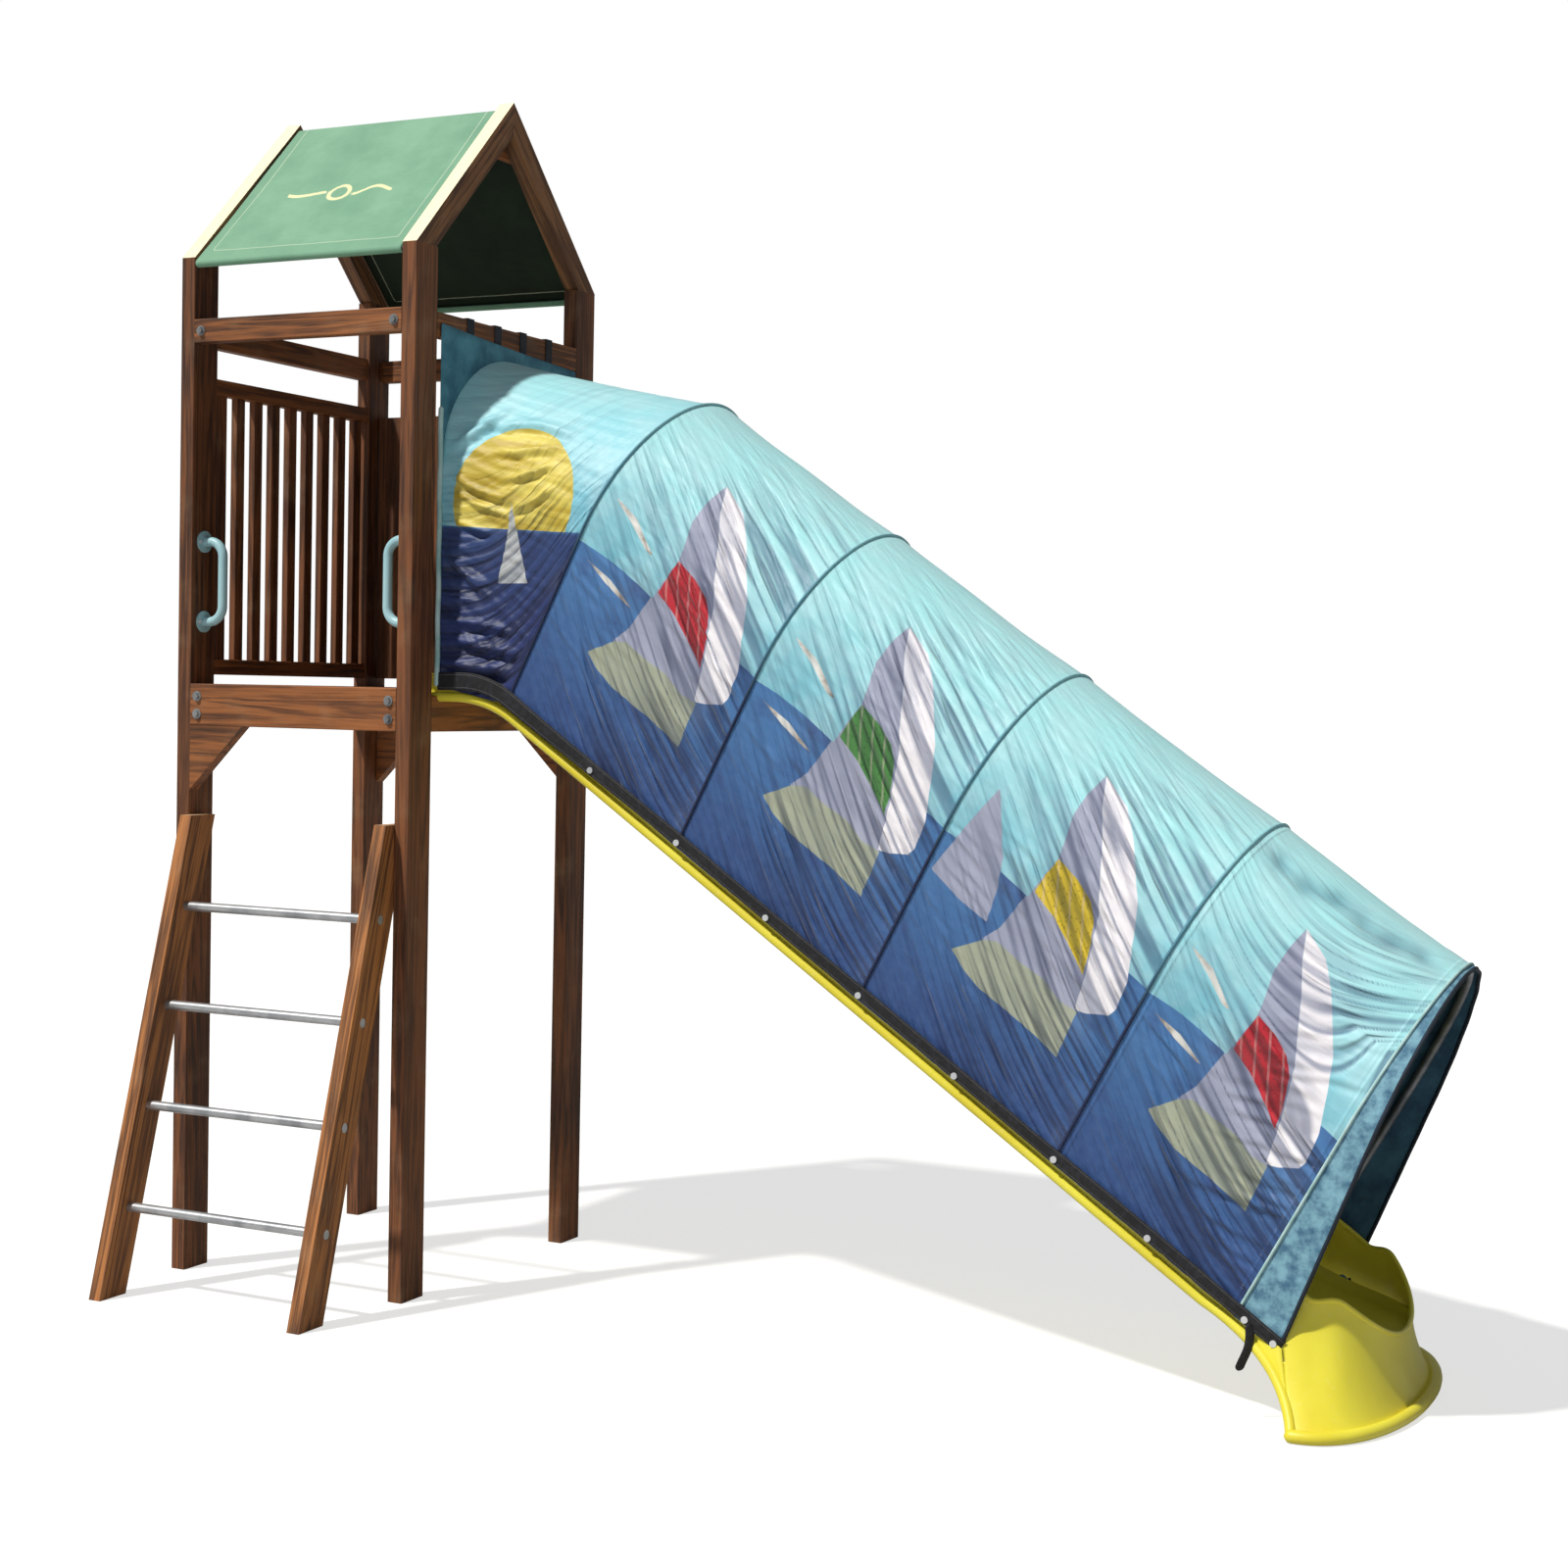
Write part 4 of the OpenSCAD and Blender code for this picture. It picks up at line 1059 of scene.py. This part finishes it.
def make_strap_tail(side, node):
    """The loose end of the hem band, hanging over the slide's wall."""
    low, high = span(node)
    y = low[1] - 0.004 if side < 0 else high[1] + 0.004
    top = down_slope(LAST_HOOP + END_STRIP - 0.075, 0.0, 0.030)
    count = 24
    drop = 0.085
    share = np.linspace(0, 1, count)
    x = top[0] + 0.006 * np.sin(share * 4) - 0.014 * share
    y = np.full(count, y) + side * 0.004 * np.sin(share * 3)
    path = np.stack([x, y, top[2] - drop * share], -1)
    facts = {"run": share * drop, "side": np.zeros(count)}
    piece = rounded_tube(f"{node}_tail", path, 0.0105, WEBBING, 16, 0.26, facts)
    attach(piece, "root")


make_strap_tail(-1, "hem_band_near")
make_strap_tail(1, "hem_band_far")
make_hem_band(-1, "hem_band_near")
make_hem_band(1, "hem_band_far")

straps = nodes["top_straps"]
straps.data.materials.clear()
straps.data.materials.append(plain_cloth("strap_black", colour(26, 27, 32), colour(48, 50, 58)))


# ---------------------------------------------------------------- slide

def tunnel_line(m, x):
    """Height of the slope's line m above the walls' lower edge, at x from the tower."""
    return lip_z + (m - (x - turn_x) * math.sin(SLOPE)) / math.cos(SLOPE)


def bent_line(m, radius, start):
    """Level line, bend and slope, m above the walls' lower edge: places along and up."""
    corner_x = turn_x + m * math.tan(SLOPE / 2)
    back = radius * math.tan(SLOPE / 2)
    level = np.linspace(start, corner_x - back, 14)
    first = np.stack([level, np.full(level.shape, lip_z + m)], -1)
    turn = np.linspace(0, SLOPE, 18)[1:]
    bend = np.stack([
        corner_x - back + radius * np.sin(turn), lip_z + m - radius * (1 - np.cos(turn))
    ], -1)
    return np.concatenate([first, bend])


def rim_line(x):
    """Height of the slide's rim at x: the low wall's, rising to the full wall's at the outlet."""
    rise = np.clip((x - (ground_x - 0.134)) / 0.07, 0, 1)
    m = CHUTE_LOW_WALL + (CHUTE_WALL - CHUTE_LOW_WALL) * rise * rise * (3 - 2 * rise)
    return tunnel_line(m, x)


def plan_curve(centre, nose, half, power, count):
    """The outlet seen from above: from its near side round the nose to its far side."""
    turn = np.linspace(-math.pi / 2, math.pi / 2, count)
    x = centre + (nose - centre) * np.abs(np.cos(turn)) ** (2 / power)
    y = half * np.sign(np.sin(turn)) * np.abs(np.sin(turn)) ** (2 / power)
    return x, y


def wall_edges():
    """Lower edge and rim of the slide's wall, round from the near lip to the far lip."""
    lip_x = tower_right - CHUTE_LIP
    low_bend = bent_line(0.0, CHUTE_BEND, lip_x)
    high_bend = bent_line(CHUTE_LOW_WALL, CHUTE_BEND + CHUTE_LOW_WALL, lip_x)
    low = [(x, CHUTE_HALF, z) for x, z in low_bend]
    high = [(x, CHUTE_HALF, z) for x, z in high_bend]
    for k, (x, y, z) in enumerate(high):
        grow = np.clip((x - tower_right - 0.010) / 0.060, 0, 1)
        high[k] = (x, y, z - (CHUTE_LOW_WALL - 0.050) * (1 - grow))
    for s in np.linspace(0.16, HEEL_START, 70):
        a = down_slope(s, 0.0, 0.0)
        b = down_slope(s, 0.0, CHUTE_LOW_WALL)
        low.append((a[0], CHUTE_HALF, a[2]))
        high.append((b[0], CHUTE_HALF, b[2]))
    first = np.array([low[-1][0], low[-1][2]])
    last = np.array([ground_x - 0.128, 0.0])
    pull = np.array([ground_x - 0.158, 0.140])
    heel_x = high[-1][0]
    for t in np.linspace(0, 1, 46)[1:]:
        x, z = first * (1 - t) ** 2 + pull * 2 * t * (1 - t) + last * t * t
        spread = CHUTE_HALF + FLARE * max(0.0, 1 - z / first[1]) ** 1.6
        low.append((x, spread, z))
        rim_x = heel_x + (ground_x - OUTLET_BACK - heel_x) * t
        high.append((rim_x, CHUTE_HALF, rim_line(rim_x)))
    start_x = low[-1][0]
    low_x, low_y = plan_curve(start_x, nose_x + 0.044, CHUTE_HALF + FLARE, 2.2, NOSE_POINTS)
    rim_x, rim_y = plan_curve(ground_x - OUTLET_BACK, nose_x, CHUTE_HALF, 2.3, NOSE_POINTS)
    sloped = rim_line(rim_x)
    front = np.cos(np.linspace(-math.pi / 2, math.pi / 2, NOSE_POINTS)) ** 3
    rim_z = sloped - (sloped.min() - 0.160) * front
    near_low = [(x, -y, z) for x, y, z in low]
    near_high = [(x, -y, z) for x, y, z in high]
    nose_low = list(zip(low_x[1:-1], low_y[1:-1], np.zeros(NOSE_POINTS - 2)))
    nose_high = list(zip(rim_x[1:-1], rim_y[1:-1], rim_z[1:-1]))
    low_all = np.array(near_low + nose_low + low[::-1])
    high_all = np.array(near_high + nose_high + high[::-1])
    shift = np.array([0.0, mid_y, 0.0])
    return low_all + shift, high_all + shift


def make_slide():
    """The moulded slide: one wall all round with a rolled rim and foot, and its floor."""
    low, high = wall_edges()
    rows = 40
    t = np.linspace(0, 1, rows)[:, None]
    outlet = np.clip((0.30 - low[:, 2]) / 0.30, 0, 1)
    power = 1 + 0.9 * outlet
    share = t ** power[None, :]
    points = np.zeros((rows, len(low), 3))
    points[..., :2] = high[None, :, :2] + (low - high)[None, :, :2] * share[..., None]
    points[..., 2] = high[None, :, 2] + (low - high)[None, :, 2] * t
    points[..., 2] = np.maximum(points[..., 2], 0.005)
    wall = sheet_piece("slide_wall", points, 0.006, SLIDE, SLIDE)
    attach(wall, "root")
    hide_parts("slide_chute")
    rim = rounded_tube("slide_rim", high, 0.0062, SLIDE, 12)
    edge_low = low.copy()
    edge_low[:, 2] = np.maximum(low[:, 2] - 0.002, 0.0125)
    outward = np.sign(low[:, 1] - mid_y) * 0.006 * np.clip(low[:, 2] / 0.3, 0, 1)
    outward[np.abs(low[:, 1] - mid_y) < CHUTE_HALF - 0.002] = 0
    edge_low[:, 1] += outward
    edge = rounded_tube("slide_lower_edge", edge_low, 0.0120, SLIDE, 14)
    foot = low[low[:, 2] < 0.0005]
    centre = np.array([foot[:, 0].min(), mid_y])
    push = foot[:, :2] - centre
    push /= np.maximum(np.linalg.norm(push, axis=1, keepdims=True), 1e-6)
    foot[:, :2] += push * 0.007
    foot[:, 2] = 0.0145
    lip = rounded_tube("slide_foot_lip", foot, 0.0142, SLIDE, 16)
    for piece in (rim, edge, lip):
        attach(piece, "root")
    make_slide_floor()


def make_slide_floor():
    """The sliding surface, rounded up into the walls, level over the run-out."""
    bend = bent_line(CHUTE_FLOOR, CHUTE_BEND + CHUTE_FLOOR, tower_right - CHUTE_LIP)
    m = CHUTE_FLOOR
    meet = turn_x + (lip_z + m / math.cos(SLOPE) - OUTLET_Z) / math.tan(SLOPE)
    radius = 0.45
    back = radius * math.tan(SLOPE / 2)
    start = meet - back * math.cos(SLOPE)
    slope_x = np.linspace(bend[-1][0], start, 60)[1:]
    line = [(x, tunnel_line(m, x)) for x in slope_x]
    for turn in np.linspace(0, SLOPE, 18)[1:]:
        centre = np.array([meet + back, OUTLET_Z + radius])
        angle = SLOPE - turn
        line.append((centre[0] - radius * math.sin(angle), centre[1] - radius * math.cos(angle)))
    for x in np.linspace(meet + back, nose_x - 0.004, 22)[1:]:
        line.append((x, OUTLET_Z))
    path = np.array([tuple(v) for v in bend] + line)
    front = ground_x - OUTLET_BACK
    part = np.clip((path[:, 0] - front) / (nose_x - front), 0, 1)
    half = (CHUTE_HALF - 0.010) * np.maximum(1 - part ** 2.3, 0.0) ** (1 / 2.3)
    half = np.maximum(half, 0.02)
    columns = 41
    across = np.sin(np.linspace(-math.pi / 2, math.pi / 2, columns))
    x = np.repeat(path[:, :1], columns, axis=1)
    y = mid_y + half[:, None] * across[None, :]
    from_wall = half[:, None] - np.abs(y - mid_y)
    fillet = np.clip(1 - from_wall / 0.030, 0, 1)
    z = path[:, 1:] + 0.022 * fillet ** 2
    points = np.stack([x, y, z], -1)
    points[..., 2] -= 0.004
    piece = sheet_piece("slide_floor", points, 0.007, SLIDE, SLIDE)
    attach(piece, "root")


make_slide()


# ---------------------------------------------------------------- roof canvas

def make_roof():
    """The roof canvas: a pocket round each eave rod and a straight pull over the ridge pole."""
    low, high = span("roof_canvas")
    front_low, front_high = span("eave_rod_front")
    back_low, back_high = span("eave_rod_back")
    ridge_low, ridge_high = span("ridge_pole")
    rod = (front_high[2] - front_low[2]) / 2
    front = np.array([(front_low[1] + front_high[1]) / 2, (front_low[2] + front_high[2]) / 2])
    back = np.array([(back_low[1] + back_high[1]) / 2, (back_low[2] + back_high[2]) / 2])
    ridge = np.array([(ridge_low[1] + ridge_high[1]) / 2, (ridge_low[2] + ridge_high[2]) / 2])
    pole = (ridge_high[2] - ridge_low[2]) / 2
    gap = 0.0018
    slope = math.atan2(ridge[1] - front[1], ridge[0] - front[0])

    def circle(centre, radius, first, last, n):
        turn = np.linspace(first, last, n)
        return np.stack([centre[0] + radius * np.cos(turn), centre[1] + radius * np.sin(turn)], -1)

    square = slope + math.pi / 2
    wrap = circle(front, rod + gap, square + 4.3, square, 16)
    over = circle(ridge, pole + gap, square, math.pi - square, 12)
    start, stop = wrap[-1], over[0]
    t = np.linspace(0, 1, 70)[1:-1, None]
    up = start + (stop - start) * t
    right = np.stack([back[0] + front[0] - up[::-1, 0], up[::-1, 1]], -1)
    tail = np.stack([back[0] + front[0] - wrap[::-1, 0], wrap[::-1, 1]], -1)
    path = np.concatenate([wrap, up, over, right, tail])
    n = 90
    xs = np.linspace(low[0] + 0.002, high[0] - 0.002, n)
    step = np.linalg.norm(np.diff(path, axis=0), axis=1)
    arc = np.concatenate([[0], np.cumsum(step)])
    run_g, arc_g = np.meshgrid(xs - xs[0], arc, indexing="ij")
    width = xs[-1] - xs[0]
    part = run_g / width
    on_slope = np.zeros(len(path))
    k0, k1 = len(wrap), len(wrap) + len(up)
    share = np.linspace(0, 1, k1 - k0)
    on_slope[k0:k1] = np.sin(share * math.pi)
    k2 = k1 + len(over)
    on_slope[k2:k2 + len(right)] = np.sin(share * math.pi)
    sag = on_slope[None, :] * (0.004 + 0.005 * np.sin(part * math.pi))
    ripple = on_slope[None, :] * 0.0016 * (np.sin(run_g * 31 + arc_g * 5) + np.sin(run_g * 57 - arc_g * 9))
    points = np.zeros((n, len(path), 3))
    points[..., 0] = xs[:, None]
    points[..., 1] = path[None, :, 0]
    points[..., 2] = path[None, :, 1] - sag + ripple
    hem = np.minimum(np.minimum(run_g, width - run_g), np.minimum(arc_g - arc[k0], arc[-k0] - arc_g))
    hem = np.clip(hem, 0, 1)
    # a plain mark in the middle of the front slope: a low wave with a ring on it
    cx, cy = width * 0.47, arc[k0] + (arc[k1] - arc[k0]) * 0.47
    dx, dy = run_g - cx, arc_g - cy
    wave = 0.0065 - np.abs(dy + 0.010 * np.sin(dx * 42))
    wave = np.minimum(wave, 0.165 - np.abs(dx))
    ring = 0.006 - np.abs(np.hypot(dx, dy) - 0.030)
    clear = np.hypot(dx, dy) - 0.044
    mark = np.maximum(np.minimum(wave, clear), ring)
    facts = {"run": run_g, "arc": arc_g, "hem": hem, "mark": mark}
    # The underside takes the painted-shade dark green
    piece = sheet_piece("roof_canvas_sheet", points, 0.0014, CANVAS, CANVAS_UNDER_PAINTED_SHADE, facts)
    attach(piece, "root")
    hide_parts("roof_canvas")


make_roof()


# ---------------------------------------------------------------- floor, light and camera

def make_floor():
    """A wide pale floor with a faint unevenness."""
    size = 60.0
    floor = new_mesh("floor", [(-size, -size, 0), (size, -size, 0), (size, size, 0), (-size, size, 0)],
                     [(0, 1, 2, 3)])
    p = Paint("floor_pale")
    cloud = p.noise(p.place(), 0.8, 4.0)
    tone = p.mix(cloud, colour(176, 176, 174), colour(168, 168, 167))
    seen = p.node("LightPath")
    glow = p.mix(seen, (0.12, 0.12, 0.12, 1), (1, 1, 1, 1))
    floor.data.materials.append(p.finish(tone, cloud * 0.1 + 0.8, Emission_Color=glow))
    p.shader.inputs["Emission Strength"].default_value = 0.66


make_floor()

world = bpy.data.worlds.new("studio")
bpy.context.scene.world = world
world.use_nodes = True
sky_tree = world.node_tree
sky = sky_tree.nodes["Background"]
sky.inputs["Color"].default_value = (1, 1, 1, 1)
sky.inputs["Strength"].default_value = 1.0
shade = sky_tree.nodes.new("ShaderNodeBackground")
shade.inputs["Color"].default_value = (0.93, 0.96, 1.0, 1)
shade.inputs["Strength"].default_value = 0.20
seen = sky_tree.nodes.new("ShaderNodeLightPath")
blend = sky_tree.nodes.new("ShaderNodeMixShader")
sky_tree.links.new(seen.outputs["Is Camera Ray"], blend.inputs[0])
sky_tree.links.new(shade.outputs[0], blend.inputs[1])
sky_tree.links.new(sky.outputs[0], blend.inputs[2])
sky_tree.links.new(blend.outputs[0], sky_tree.nodes["World Output"].inputs["Surface"])


def aim(name, kind, place, target, energy, **settings):
    """A lamp at a place, turned towards a target."""
    lamp = bpy.data.lights.new(name, kind)
    lamp.energy = energy
    for key, value in settings.items():
        setattr(lamp, key, value)
    holder = bpy.data.objects.new(name, lamp)
    bpy.context.scene.collection.objects.link(holder)
    holder.location = place
    holder.rotation_euler = (Vector(target) - Vector(place)).to_track_quat("-Z", "Y").to_euler()
    return holder


aim("key", "SUN", (-3.2, -5.0, 8.6), (0, 0, 0), 3.7, angle=math.radians(2.5), color=(1.0, 0.97, 0.91))
aim("fill", "AREA", (1.0, -8.0, 2.4), (0.4, 0, 1.0), 40, size=5.0, color=(0.96, 0.98, 1.0))


def make_camera():
    """The camera, where the tower is seen from its front right at head height."""
    yaw, tilt, roll = -0.45263, -0.038866, 0.020798
    data = bpy.data.cameras.new("camera")
    data.sensor_width = 36.0
    data.lens = 55.03
    data.clip_end = 200.0
    camera = bpy.data.objects.new("camera", data)
    bpy.context.scene.collection.objects.link(camera)
    look = Vector((math.sin(yaw) * math.cos(tilt), math.cos(yaw) * math.cos(tilt), math.sin(tilt)))
    right = look.cross(Vector((0, 0, 1))).normalized()
    up = right.cross(look)
    across = right * math.cos(roll) + up * math.sin(roll)
    above = up * math.cos(roll) - right * math.sin(roll)
    turn = Matrix((across, above, -look)).transposed().to_4x4()
    camera.matrix_world = Matrix.Translation((2.505, -5.111, 1.5287)) @ turn
    bpy.context.scene.camera = camera


make_camera()
bpy.context.scene.view_settings.view_transform = "Standard"
